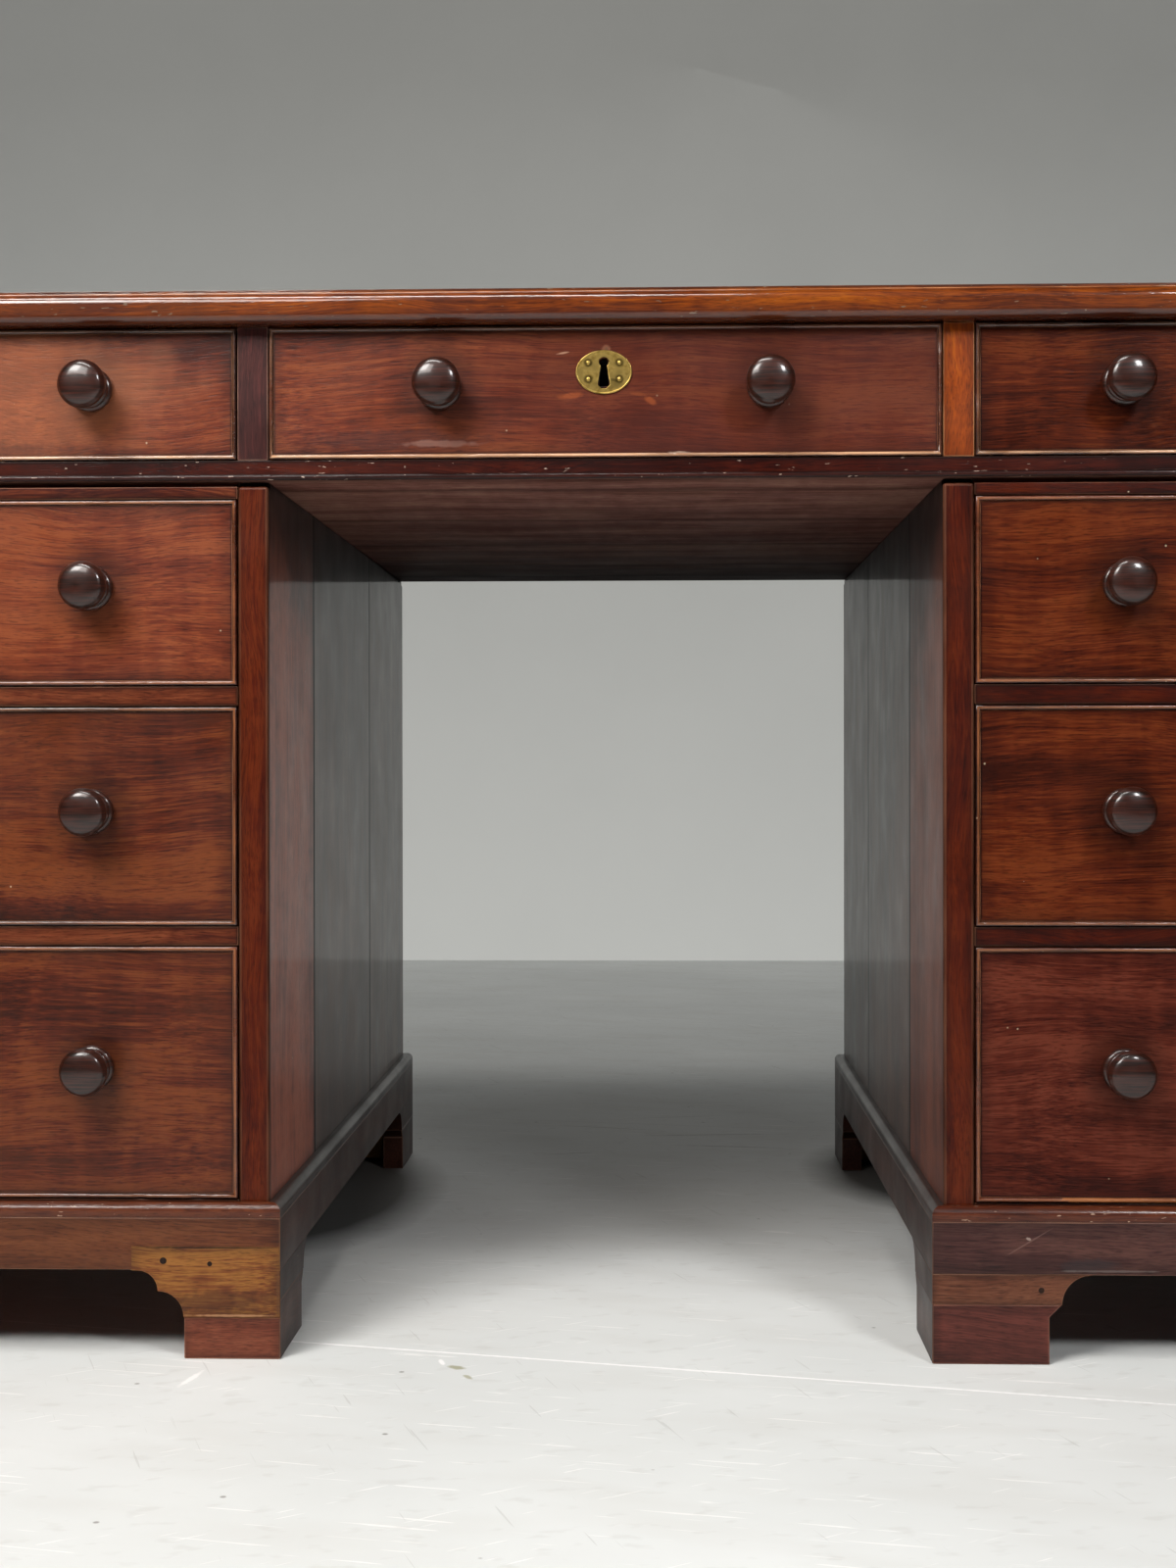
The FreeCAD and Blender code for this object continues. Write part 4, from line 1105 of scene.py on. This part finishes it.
# %% Knob polish
def knob_polish():
    """Dark mahogany under years of hand wax, with faint level lines of grain."""
    material, tree, surface = new_finish(
        "hand_waxed_mahogany_knob", IOR=1.5, Specular_IOR_Level=0.25, Coat_Weight=0.65,
        Coat_Roughness=0.13, Coat_IOR=1.5,
    )
    place = add(tree, "TexCoord").outputs["Object"]
    spin = add(tree, "Attribute", {"attribute_name": "knob_number", "attribute_type": "OBJECT"})
    moved = add(tree, "VectorMath", {"operation": "ADD"}, {0: place, 1: spin.outputs["Vector"]})
    lines = stretched_noise(tree, moved.outputs[0], (22, 22, 0.9), 2.0)
    wax = add(tree, "TexNoise", {"Scale": 1 / (9 * MM), "Detail": 3.0}, {"Vector": moved.outputs[0]})
    ramp = add(tree, "ValToRGB", {"stops": ((0.35, "190b06"), (0.7, "3d1a11"))}, {"Fac": lines})
    tree.links.new(ramp.outputs["Color"], surface.inputs["Base Color"])
    rough = add(
        tree, "MapRange", {"From Min": 0.3, "From Max": 0.7, "To Min": 0.3, "To Max": 0.48},
        {"Value": wax.outputs["Fac"]},
    )
    tree.links.new(rough.outputs[0], surface.inputs["Roughness"])
    bump = add(tree, "Bump", {"Strength": 0.25, "Distance": 0.15 * MM}, {"Height": lines})
    tree.links.new(bump.outputs[0], surface.inputs["Normal"])
    return material


knob_mesh.materials.append(knob_polish())
print("Knobs wear", knob_mesh.materials[0].name)

# %% [markdown]
# ## Brass
#
# Escutcheon and lock are cast and filed brass. New brass is a bright yellow metal; after a century
# of cleaning it is duller, with greenish brown tarnish left round the pins where the cloth doesn't
# reach, and fine scratches from the polish. A metal has no colour but that of its reflections, so
# the brown of the tarnish goes into the base colour, and its dullness into the roughness.

# %% Old brass
def old_brass():
    """Cast brass, cleaned for a century: cloudy, and scratched so finely that it looks grained."""
    material, tree, surface = new_finish("cast_brass_old", Metallic=1.0)
    place = add(tree, "TexCoord").outputs["Object"]
    cloud = add(tree, "TexNoise", {"Scale": 1 / (7 * MM), "Detail": 4.0}, {"Vector": place})
    ramp = add(
        tree, "ValToRGB", {"stops": ((0.34, "8c7238"), (0.5, "bfa25a"))}, {"Fac": cloud.outputs["Fac"]}
    )
    tree.links.new(ramp.outputs["Color"], surface.inputs["Base Color"])
    rough = add(
        tree, "MapRange", {"From Min": 0.35, "From Max": 0.6, "To Min": 0.42, "To Max": 0.32},
        {"Value": cloud.outputs["Fac"]},
    )
    tree.links.new(rough.outputs[0], surface.inputs["Roughness"])
    scratches = add(
        tree, "TexNoise", {"Scale": 1 / (0.9 * MM), "Detail": 3.0}, {"Vector": place}
    )
    bump = add(
        tree, "Bump", {"Strength": 0.05, "Distance": 0.04 * MM}, {"Height": scratches.outputs["Fac"]}
    )
    tree.links.new(bump.outputs[0], surface.inputs["Normal"])
    return material


PIN_ACROSS, PIN_UP, PIN_RAISE = 11.3, 6.0, 0.8    # mm from the middle of the plate to its pins
BRASS = old_brass()
PLATE_BRASS = marked(BRASS, "cast_brass_old_plate")
for across in (-PIN_ACROSS, PIN_ACROSS):
    for up in (-PIN_UP, PIN_UP):
        mark(PLATE_BRASS, (across, up + PIN_RAISE), (2.9, 2.9), "3a3016", 0.7, flat=True, ragged=0.3)
# painted shade on the lower right of the plate
mark(PLATE_BRASS, (2.0, -9.0), (15.0, 4.0), "5c4e26", 0.4, flat=True)
mark(PLATE_BRASS, (7.5, -6.0), (3.4, 1.6), "3a3016", 0.6, 20, flat=True)
BLACKENED = new_finish(
    "blackened_iron_lock_case", Roughness=0.7, Metallic=0.6, Base_Color=linear("120f0d")
)[0]
print("Metals:", BRASS.name, PLATE_BRASS.name, BLACKENED.name)

# %% [markdown]
# ## Escutcheon
#
# The oval plate has a raised rim and four round-headed pins. A flat curve with two loops, the
# oval and the keyhole inside it, fills itself as a plate with a hole, which a mesh would only get
# from a cut. The rim is the oval again with a round section, and the pins are tiny turnings.

# %% Outlines of the escutcheon
PLATE_LONG, PLATE_HIGH = 41.0 * MM, 32.0 * MM
PLATE_THICK = 0.5 * MM
RIM_THICK = 1.4 * MM
KEY_ROUND, KEY_THROAT, KEY_FLARE = 3.9 * MM, 2.6 * MM, 4.8 * MM    # half widths of the keyhole
KEY_RAISE, KEY_DROP = 7.4 * MM, 19.5 * MM    # its round above the plate's middle, and its length
KEY_BEVEL = 3.0 * MM


def oval(long, high, count=64):
    """Points of an oval about the origin."""
    turns = [math.tau * index / count for index in range(count)]
    return [(long / 2 * math.cos(a), high / 2 * math.sin(a)) for a in turns]


def keyhole_loop():
    """The keyhole's outline: a round over a flared slot."""
    start = math.asin(KEY_THROAT / KEY_ROUND)
    turns = [start + (math.tau - 2 * start) * index / 24 for index in range(25)]
    loop = [(KEY_ROUND * math.sin(a), KEY_RAISE - KEY_ROUND * math.cos(a)) for a in turns]
    foot = KEY_RAISE - KEY_DROP
    left = [(-KEY_FLARE, foot + KEY_BEVEL), (-KEY_FLARE + KEY_BEVEL, foot)]
    right = [(KEY_FLARE - KEY_BEVEL, foot), (KEY_FLARE, foot + KEY_BEVEL)]
    return loop + left + right


def pin_outline():
    """A pin's round head, in mm."""
    turns = [math.radians(turn) for turn in range(0, 91, 18)]
    return [(1.7, 0.0)] + [(1.7 * math.cos(a), 0.15 + 1.1 * math.sin(a)) for a in turns]


pin_mesh = turned("escutcheon_pin", pin_outline(), 20)
pin_mesh.materials.append(BRASS)
print("A pin has", len(pin_mesh.polygons), "faces")

# %% Make an escutcheon
def flat_curve(name, loops, thick, round_edge):
    """A filled flat curve standing in the XZ plane and facing -Y, with softened edges."""
    curve = bpy.data.curves.new(name, "CURVE")
    curve.dimensions = "2D" if thick else "3D"
    curve.fill_mode = "BOTH" if thick else "FULL"
    curve.extrude = thick / 2
    curve.bevel_depth = round_edge
    curve.bevel_resolution = 3
    for loop in loops:
        spline = curve.splines.new("POLY")
        spline.points.add(len(loop) - 1)
        for point, (x, z) in zip(spline.points, loop):
            point.co = (x, z, 0.0, 1.0)
        spline.use_cyclic_u = True
    piece = bpy.data.objects.new(name, curve)
    piece.rotation_euler.x = math.pi / 2
    bpy.context.scene.collection.objects.link(piece)
    return piece


def as_mesh(piece, finish):
    """The piece's curve turned into a mesh in the same place."""
    bpy.context.view_layer.update()
    mesh = bpy.data.meshes.new_from_object(piece)
    mesh.shade_smooth()
    mesh.set_sharp_from_angle(angle=math.radians(40))
    mesh.materials.clear()
    mesh.materials.append(finish)
    name = piece.name
    made = bpy.data.objects.new(name + "_plate", mesh)
    made.matrix_world = piece.matrix_world.copy()
    bpy.data.objects.remove(piece)
    bpy.context.scene.collection.objects.link(made)
    return made


def stand(piece, centre, way):
    """Put a piece that faces -Y on a drawer front, facing outwards."""
    piece.rotation_euler = (piece.rotation_euler.x, 0.0, 0.0 if way < 0 else math.pi)
    piece.location = centre
    return piece


def escutcheon(side, centre, way, body):
    """Plate, rim and pins of one escutcheon, centred on a point of the drawer front."""
    name = side + "_escutcheon"
    loops = [oval(PLATE_LONG - 1.0 * MM, PLATE_HIGH - 1.0 * MM), keyhole_loop()]
    plate = as_mesh(flat_curve(name, loops, PLATE_THICK, PLATE_THICK / 2), PLATE_BRASS)
    rim_path = [oval(PLATE_LONG - RIM_THICK, PLATE_HIGH - RIM_THICK)]
    rim = as_mesh(flat_curve(name + "_rim", rim_path, 0.0, RIM_THICK / 2), BRASS)
    for piece, lift in ((plate, 0.45 * MM), (rim, 0.65 * MM)):
        stand(piece, centre + Vector((0, way * lift, 0)), way)
        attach(piece, body)
    for across in (-1, 1):
        for up in (-1, 1):
            pin = bpy.data.objects.new(f"{name}_pin_{across + 1}{up + 1}", pin_mesh)
            bpy.context.scene.collection.objects.link(pin)
            place = Vector((across * PIN_ACROSS, way * 0.9, up * PIN_UP + PIN_RAISE)) * MM
            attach(stand(pin, centre + place, way), body)


print("The plate is", PLATE_LONG, "by", PLATE_HIGH, "m")

# %% [markdown]
# ## Drawers
#
# The first solid of a drawer front is its board, with the sockets for the dovetails already cut
# in it. So the board keeps its shape, the last two solids, its knobs, only say where the turned
# knobs go, and the bead is swept round the board anew. The boxes keep their joints too, and are
# dressed in bare oak. Each front has the wood of its place, and all eighteen share one function.

# %% One drawer
FRONT_WOODS = {"front_centre_frieze": LOCK_FRONT, "front_left_frieze": PALE_FRONT}


def extent(faces):
    """The low and the high corner of a solid's box."""
    corners = [corner for face in faces for corner in face]
    return [Vector([pick(c[axis] for c in corners) for axis in range(3)]) for pick in (min, max)]


def front_wood(name, low):
    """The wood of a drawer front, by its name and its low corner."""
    if name in FRONT_WOODS:
        return FRONT_WOODS[name]
    if name.endswith("right_bottom"):
        return PURPLE_FRONT
    if low.x > kneehole_right - 30 * MM:
        return DEEP_FRONT
    return LOW_FRONT_PAINTED_SHADE if name.endswith(("middle", "bottom")) else FRONT


def is_new_bead(face, low):
    """Whether a face is in the renewed length of bead, along the foot of a front."""
    return face.center.x > low.x + 64 * MM and face.center.z < low.z + 4 * MM


def drawer(name, side, seed):
    """Dress one drawer: board, bead, two knobs and the box behind."""
    node, body, way = name + "_face", name + "_drawer", SIDES[side]
    board, *rest = solids_of(node)
    low, high = extent(board)
    face_y = low.y if way < 0 else high.y
    solid = eased_solid(board, 0.5 * MM)
    board_piece = joinery(name + "_front", [(solid, front_wood(name, low), None)], body, [node])
    finish = SHELTERED_BEAD if name.endswith("frieze") else BEAD
    bead = cock_bead(name + "_bead", low, high, face_y, way, body, seed, finish)
    if name.endswith("frieze"):
        refinish(bead, RUBBED_BEAD, lambda face: face.center.z < low.z + BEAD_WIDE)
    if name == "front_right_bottom":
        refinish(bead, NEW_BEAD, lambda face: is_new_bead(face, low))
    for number, knob in enumerate(rest[-2:]):
        centre = sum(extent(knob), Vector()) / 2
        piece = bpy.data.objects.new(f"{name}_knob_{number}", knob_mesh)
        bpy.context.scene.collection.objects.link(piece)
        piece["knob_number"] = [seed * 0.137 + number * 0.061, 0.0, seed * 0.091]
        stand(piece, (centre.x, face_y, centre.z), way)
        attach(piece, body)
    dress(name + "_box", OAK, arris=0.4 * MM)


print("Fronts with a wood of their own:", ", ".join(FRONT_WOODS))

# %% Dress the drawers
seed = 0
for side in SIDES:
    names = [side + "_centre_frieze"]
    names += [f"{side}_{column}_{level}" for column in COLUMNS for level in LEVELS]
    for name in names:
        seed += 1
        drawer(name, side, seed)
print("Drawers dressed:", seed)

# %% [markdown]
# ## Locks
#
# Each centre drawer locks into the top. A lock node has two solids: the flat plate, which the
# escutcheon stands in for, and the iron case behind the front. The bolt slides by itself, so it
# stays the frame's own node and only gets its brass.

# %% Fit the locks
for side, way in SIDES.items():
    name = side + "_centre_frieze"
    plate_solid, case_solid = solids_of(name + "_lock")
    case = eased_solid(case_solid, 0.4 * MM)
    case_piece = joinery(
        name + "_lock_case", [(case, BLACKENED, None)], name + "_drawer", [name + "_lock"]
    )
    low, high = extent(plate_solid)
    middle = (low + high) / 2
    middle.y = high.y if way < 0 else low.y
    escutcheon(side, middle, way, name + "_drawer")
    bolt = frame["nodes"][name + "_lock_bolt"]
    bolt.data.materials.clear()
    bolt.data.materials.append(BRASS)
print("Escutcheons:", len(SIDES))

# %% [markdown]
# ## Mends
#
# The left pedestal's kneehole foot lost its bracket, and a yellower piece was let in, up into the
# plinth and down to the tip. It is a thin facing over the seam, cut to the bracket's own curves,
# and two plugs fill the holes where it was once screwed. The strip on the right foot has one.
# Its outline is given as an old joiner would mark it out, in distances from the corner and the
# floor, with quarter circles for the curves.

# %% Let-in facing
PATCH = marked(RENEWED, "polished_mahogany_worn_mend", (
    ((10, -14), (50, 9), "3a1e10", 0.55, 3),
    ((0, 25), (56, 0.9), "1a0d06", 0.75, 0),
    ((19, -24.3), (37, 1.0), "b98a62", 0.6, 0),
    ((53, -8), (1.6, 22), "5a3a22", 0.6, 0),
))
plinth_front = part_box("left_plinth")[0].y
corner_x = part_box("left_plinth")[1].x
PATCH_TOP, APRON, CUSP = 81.6 * MM, 64.5 * MM, 49.5 * MM    # heights above the floor
ARC = 19.0 * MM            # radius of the lower curve
FOOT_WIDE = 70.5 * MM
PATCH_WIDE = 108.5 * MM
SHRUNK = 0.6 * MM          # the facing has shrunk back this far from the corner
FACE_DEPTHS = (-0.35 * MM, 0.4 * MM)    # its front and back, from the plinth's own front


def quarter(start, end, steps=8):
    """Points of a quarter circle from start to end, hollow towards the kneehole's arch."""
    width, height = end[0] - start[0], end[1] - start[1]
    turns = [math.pi / 2 * step / steps for step in range(steps + 1)]
    return [(start[0] + width * (1 - math.cos(a)), start[1] + height * math.sin(a)) for a in turns]


def patch_outline():
    """The facing's outline, as distances left of the corner and above the floor."""
    foot = CUSP - ARC
    lip = FOOT_WIDE + ARC
    sweep = APRON - CUSP
    lower = quarter((FOOT_WIDE, foot), (lip, CUSP))
    upper = quarter((lip, CUSP), (lip + sweep, APRON))
    end = [(PATCH_WIDE, APRON), (PATCH_WIDE, PATCH_TOP), (0.0, PATCH_TOP)]
    return [(0.0, foot)] + lower + upper[1:] + end


outline = [(corner_x - max(left, SHRUNK), up) for left, up in patch_outline()]
front, back = (
    [(x, plinth_front + depth, z) for x, z in outline] for depth in FACE_DEPTHS
)
ring = list(zip(front, front[1:] + front[:1], back[1:] + back[:1], back))
facing = eased_solid([front, back[::-1]] + [[a, b, c, d] for a, b, c, d in ring], 0.3 * MM)
bmesh.ops.recalc_face_normals(facing, faces=facing.faces[:])
for face in facing.faces:
    face.tag = face.calc_area() < 60 * MM * MM
facing_piece = joinery("left_foot_facing", [(facing, PATCH, "X")], "carcase")
print("The facing has", len(facing_piece.data.polygons), "faces")

# %% Plugs
PLUG = wood("bare_wood_dark_plug", "1c100a", "2a1a10", "3a2618", "4a3222", roughness=0.7, coat=0.0)
TURN_TO_FRONT = Matrix.Rotation(math.pi / 2, 3, "X")


def plug(name, x, z, y, radius):
    """A round plug in a screw hole, its rim showing by a hair."""
    disc = bmesh.new()
    bmesh.ops.create_cone(
        disc, cap_ends=True, segments=18, radius1=radius, radius2=radius * 0.9, depth=0.4 * MM
    )
    bmesh.ops.rotate(disc, verts=disc.verts[:], matrix=TURN_TO_FRONT)
    bmesh.ops.translate(disc, verts=disc.verts[:], vec=(x, y, z))
    joinery(name, [(disc, PLUG, None)], "carcase")


plug("left_foot_plug_0", corner_x - 85.6 * MM, 71.4 * MM, plinth_front - 0.4 * MM, 2.6 * MM)
plug("left_foot_plug_1", corner_x - 51.6 * MM, 69.3 * MM, plinth_front - 0.4 * MM, 1.9 * MM)
right_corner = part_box("right_plinth")[0].x
plug("right_foot_plug", right_corner + 78.0 * MM, 53.5 * MM, plinth_front - 0.1 * MM, 2.2 * MM)

# %% [markdown]
# ## Leather
#
# A writing leather is a thin skiver, dyed and glazed, with two plain tooled lines near its edge.
# Its grain is a net of soft pebbles a millimetre and a half across, and the glaze is worn in
# clouds. A tooled line could be a strip of its own, but pressed leather has no step, so it is
# drawn instead, as a narrow range of distances from the edge.

# %% Writing leather
PEBBLE = 1.6 * MM
TOOLED_LINES = ((22 * MM, 1.2 * MM), (27 * MM, 0.5 * MM))    # distance from the edge, half width


def writing_leather(centre, half):
    """Glazed skiver with tooled lines, for a field with a centre and half sizes in metres."""
    material, tree, surface = new_finish(
        "glazed_leather_green_skiver", IOR=1.5, Coat_Weight=0.15, Coat_Roughness=0.3
    )
    place = add(tree, "TexCoord").outputs["Object"]
    cells = add(tree, "TexVoronoi", {"Scale": 1 / PEBBLE}, {"Vector": place})
    cloud = add(tree, "TexNoise", {"Scale": 1 / (130 * MM), "Detail": 4.0}, {"Vector": place})
    ramp = add(
        tree, "ValToRGB", {"stops": ((0.35, "243220"), (0.68, "34432a"))}, {"Fac": cloud.outputs["Fac"]}
    )
    away = add(tree, "VectorMath", {"operation": "SUBTRACT", 1: centre}, {0: place})
    away = add(tree, "VectorMath", {"operation": "ABSOLUTE"}, {0: away.outputs[0]})
    inset = add(tree, "VectorMath", {"operation": "SUBTRACT", 0: half}, {1: away.outputs[0]})
    parts = add(tree, "SeparateXYZ", links={0: inset.outputs[0]})
    rim = add(tree, "Math", {"operation": "MINIMUM"}, {0: parts.outputs[0], 1: parts.outputs[1]})
    tree.links.new(ramp.outputs["Color"], surface.inputs["Base Color"])
    for distance, width in TOOLED_LINES:
        line = add(
            tree, "Math", {"operation": "COMPARE", 1: distance, 2: width}, {0: rim.outputs[0]}
        )
        paint_over(material, line.outputs[0], "8c7236")
    rough = add(
        tree, "MapRange", {"From Min": 0.3, "From Max": 0.7, "To Min": 0.42, "To Max": 0.6},
        {"Value": cloud.outputs["Fac"]},
    )
    tree.links.new(rough.outputs[0], surface.inputs["Roughness"])
    bump = add(
        tree, "Bump", {"Strength": 0.35, "Distance": 0.25 * MM}, {"Height": cells.outputs["Distance"]}
    )
    tree.links.new(bump.outputs[0], surface.inputs["Normal"])
    return material


leather_low, leather_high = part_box("leather_inset")
leather = frame["nodes"]["leather_inset"]
leather.data.materials.clear()
leather.data.materials.append(
    writing_leather((leather_low + leather_high) / 2, (leather_high - leather_low) / 2)
)
print("The leather field spans", [round(part, 3) for part in (leather_high - leather_low)[:2]], "m")

# %% [markdown]
# ## Room
#
# The desk stands on a pale painted screed before a plain wall. The screed has been scraped and
# scuffed, and the shadow under the pedestals and in the kneehole is painted on it; those marks are
# laid on it one by one, as on the boards. The wall glows, most near its foot, in place of the light
# that a whole room would throw on it. From behind it is clear, so that the desk can be looked at
# from the rear too.

# %% Paint and sheets
WALL_Y = 2.93
ROOM = 6.0


def paint(name, shade, patch, roughness):
    """Flat paint with faint clouds and brush marks."""
    material, tree, surface = new_finish(name, Roughness=roughness)
    place = add(tree, "TexCoord").outputs["Object"]
    cloud = add(tree, "TexNoise", {"Scale": 2.2, "Detail": 5.0}, {"Vector": place})
    ramp = add(
        tree, "ValToRGB", {"stops": ((0.3, patch), (0.65, shade))}, {"Fac": cloud.outputs["Fac"]}
    )
    tree.links.new(ramp.outputs["Color"], surface.inputs["Base Color"])
    marks = add(tree, "TexNoise", {"Scale": 60.0, "Detail": 6.0}, {"Vector": place})
    bump = add(tree, "Bump", {"Strength": 0.15, "Distance": 1 * MM}, {"Height": marks.outputs["Fac"]})
    tree.links.new(bump.outputs[0], surface.inputs["Normal"])
    return material


def flat_sheet(name, corners, finish):
    """A plain four-cornered sheet, such as a floor or a wall."""
    mesh = bpy.data.meshes.new(name)
    mesh.from_pydata(corners, [], [(0, 1, 2, 3)])
    mesh.materials.append(finish)
    piece = bpy.data.objects.new(name, mesh)
    bpy.context.scene.collection.objects.link(piece)


print("The wall stands", WALL_Y, "m behind the middle of the desk")

# %% Marks of the floor
# length and width in mm of each kind of scuff, its turn, how rare and how soft it is, its colour
SCUFFS = (
    (90.0, 5.0, 12, 0.67, 0.02, "fbfbfa", 0.7),
    (60.0, 3.5, -35, 0.70, 0.02, "fbfbfa", 0.7),
    (120.0, 4.0, 70, 0.70, 0.02, "9f9f9b", 0.3),
    (160.0, 60.0, 15, 0.48, 0.2, "cfcfcb", 0.25),
    (25.0, 14.0, -10, 0.6, 0.1, "b9b8b3", 0.2),
)
# place and half size in mm, colour, strength and turn of each single mark
SCRAPES = (
    ((9, -436), (640, 2.0), "ffffff", 1.0, 13.3),
    ((0, 640), (500, 1.5), "c9cac8", 0.6, 11),
    ((-118, -432), (9, 2.4), "ffffff", 0.9, 75),
    ((-106, -446), (9, 5), "a3a183", 0.85, 35),
    ((-96, -470), (7, 3), "a9a78c", 0.8, 60),
    ((-290, -480), (3, 24), "fbfbfa", 0.9, 12),
    ((60, 120), (26, 1.6), "fbfbfa", 0.5, -20),
    ((150, 20), (18, 4), "fbfbfa", 0.5, 15),
    ((120, 480), (70, 3.0), "4e4944", 0.4, 8),
    ((-60, 430), (34, 2.4), "4e4944", 0.35, -15),
    ((100, 560), (90, 3.0), "4e4944", 0.4, -6),
    ((-30, 610), (60, 2.5), "5a5450", 0.3, 15),
    ((60, 690), (70, 2.0), "665f5a", 0.3, -12),
)
# painted shadow under the pedestals and painted shade in the kneehole
PAINTED_SHADOWS = (
    ((-330, 190), (112, 225), "1a1817", 0.93),
    ((345, 330), (112, 170), "1a1817", 0.9),
    ((0, 430), (270, 400), "5a5046", 0.28),
)
PITS_APART = 70 * MM


def worn_floor():
    """Pale painted screed with a joint, scuffs, pits and painted shadow."""
    floor = paint("painted_screed_pale_grey", "e5e8e7", "d9dcdb", 0.55)
    tree = floor.node_tree
    place = add(tree, "TexCoord").outputs["Object"]
    for length, width, turn, low, soft, shade, strength in SCUFFS:
        turned_way = add(
            tree, "VectorRotate", {"rotation_type": "Z_AXIS", "Angle": math.radians(turn)},
            {"Vector": place},
        )
        lines = stretched_noise(tree, turned_way.outputs[0], (length, width, 1000.0), 2.0)
        sharp = add(tree, "MapRange", {"From Min": low, "From Max": low + soft}, {"Value": lines})
        paint_over(floor, sharp.outputs[0], shade, strength)
    pits = add(tree, "TexVoronoi", {"Scale": 1 / PITS_APART}, {"Vector": place})
    pit = add(
        tree, "MapRange", {"From Min": 0.018, "From Max": 0.034, "To Min": 1.0, "To Max": 0.0},
        {"Value": pits.outputs["Distance"]},
    )
    paint_over(floor, pit.outputs[0], "77746e", 0.75)
    for spot, size, shade, strength, turn in SCRAPES:
        mark(floor, spot, size, shade, strength, turn, flat=True)
    for spot, size, shade, strength in PAINTED_SHADOWS:
        mark(floor, spot, size, shade, strength, flat=True, ragged=0.1)
    return floor


flat_sheet(
    "floor", [(-ROOM, -ROOM, 0), (ROOM, -ROOM, 0), (ROOM, 2 * ROOM, 0), (-ROOM, 2 * ROOM, 0)],
    worn_floor(),
)
print("Single marks on the floor:", len(SCRAPES) + len(PAINTED_SHADOWS))

# %% Wall
wall_paint = paint("painted_plaster_grey", "b2b2ae", "acaca8", 0.9)
wall_tree = wall_paint.node_tree
height = add(wall_tree, "SeparateXYZ", links={0: add(wall_tree, "TexCoord").outputs["Object"]})
glow = add(
    wall_tree, "MapRange", {"From Min": -0.2, "From Max": 2.0, "To Min": 0.4, "To Max": 0.1},
    {"Value": height.outputs[2]},
)
wall_surface = wall_tree.nodes["Principled BSDF"]
wall_tree.links.new(glow.outputs[0], wall_surface.inputs["Emission Strength"])
wall_surface.inputs["Emission Color"].default_value = linear("e4e6e3")
behind = add(wall_tree, "NewGeometry").outputs["Backfacing"]
see_through = add(wall_tree, "BsdfTransparent")
one_sided = add(
    wall_tree, "MixShader",
    links={0: behind, 1: wall_surface.outputs[0], 2: see_through.outputs[0]},
)
wall_tree.links.new(one_sided.outputs[0], wall_tree.nodes["Material Output"].inputs["Surface"])
flat_sheet(
    "wall", [(-ROOM, WALL_Y, 0), (ROOM, WALL_Y, 0), (ROOM, WALL_Y, ROOM), (-ROOM, WALL_Y, ROOM)],
    wall_paint,
)
print("The wall is", 2 * ROOM, "m wide")

# %% [markdown]
# ## Light and camera
#
# Daylight falls in from the front left and above. One soft box stands in for the window and
# lights the floor and the inside of the kneehole, and a wide one overhead draws the bright line
# on the top's edge and the shadow under it. A small key near the desk gives each knob its glint,
# one on the right lifts the floor there, and a weak one behind keeps the floor beyond the desk
# from going grey. A faint sky fills the rest. Area lights are used because their size sets how
# soft a shadow is, just as a window's does.
#
# The camera stands two metres from the middle of the desk, less than half a metre above the floor
# and looking level, as someone would see the desk who sits on the floor before it.

# %% Lights
def soft_light(name, place, aim, size, power, shade="ffffff"):
    """A soft box of a width and height at a place, aimed at a point."""
    lamp = bpy.data.lights.new(name, "AREA")
    lamp.shape = "RECTANGLE"
    lamp.size, lamp.size_y = size
    lamp.energy = power
    lamp.color = linear(shade)[:3]
    piece = bpy.data.objects.new(name, lamp)
    piece.location = place
    piece.rotation_euler = (Vector(aim) - Vector(place)).to_track_quat("-Z", "Y").to_euler()
    bpy.context.scene.collection.objects.link(piece)


soft_light("key_soft_box", (-0.72, -1.4, 1.4), (-0.27, -0.43, 0.5), (0.8, 0.45), 12, "fffaf5")
soft_light("window_soft_box", (-1.4, -2.4, 2.5), (0.5, -0.5, 0.0), (0.9, 0.9), 43, "fffcf9")
soft_light("side_soft_box", (0.95, -1.9, 1.6), (0.6, -0.9, 0.0), (0.3, 0.4), 17)
soft_light("overhead_soft_box", (-0.5, -1.5, 3.0), (0.1, -0.65, 0.0), (1.6, 0.42), 41, "fffcf7")
soft_light("rear_soft_box", (0.5, 2.3, 2.3), (0.0, 1.2, 0.5), (1.2, 1.2), 1)
sky = bpy.data.worlds.new("grey_sky")
sky.use_nodes = True
sky.node_tree.nodes["Background"].inputs["Color"].default_value = linear("b9bcc0")
sky.node_tree.nodes["Background"].inputs["Strength"].default_value = 0.08
bpy.context.scene.world = sky
bpy.context.scene.view_settings.view_transform = "Standard"
print("Lights:", len(bpy.data.lights), "with", sum(lamp.energy for lamp in bpy.data.lights), "W")

# %% Camera
LENS = 49.93    # mm, on a sensor of the usual size
EYE = (0.038, -1.998, 0.426)
TILT, ROLL, TURN = 89.70, 0.08, 1.81    # degrees; a level camera has a tilt of 90
camera = bpy.data.objects.new("camera", bpy.data.cameras.new("camera"))
camera.data.lens = LENS
camera.location = EYE
camera.rotation_euler = [math.radians(angle) for angle in (TILT, ROLL, TURN)]
bpy.context.scene.collection.objects.link(camera)
bpy.context.scene.camera = camera
print("The camera stands at", EYE)
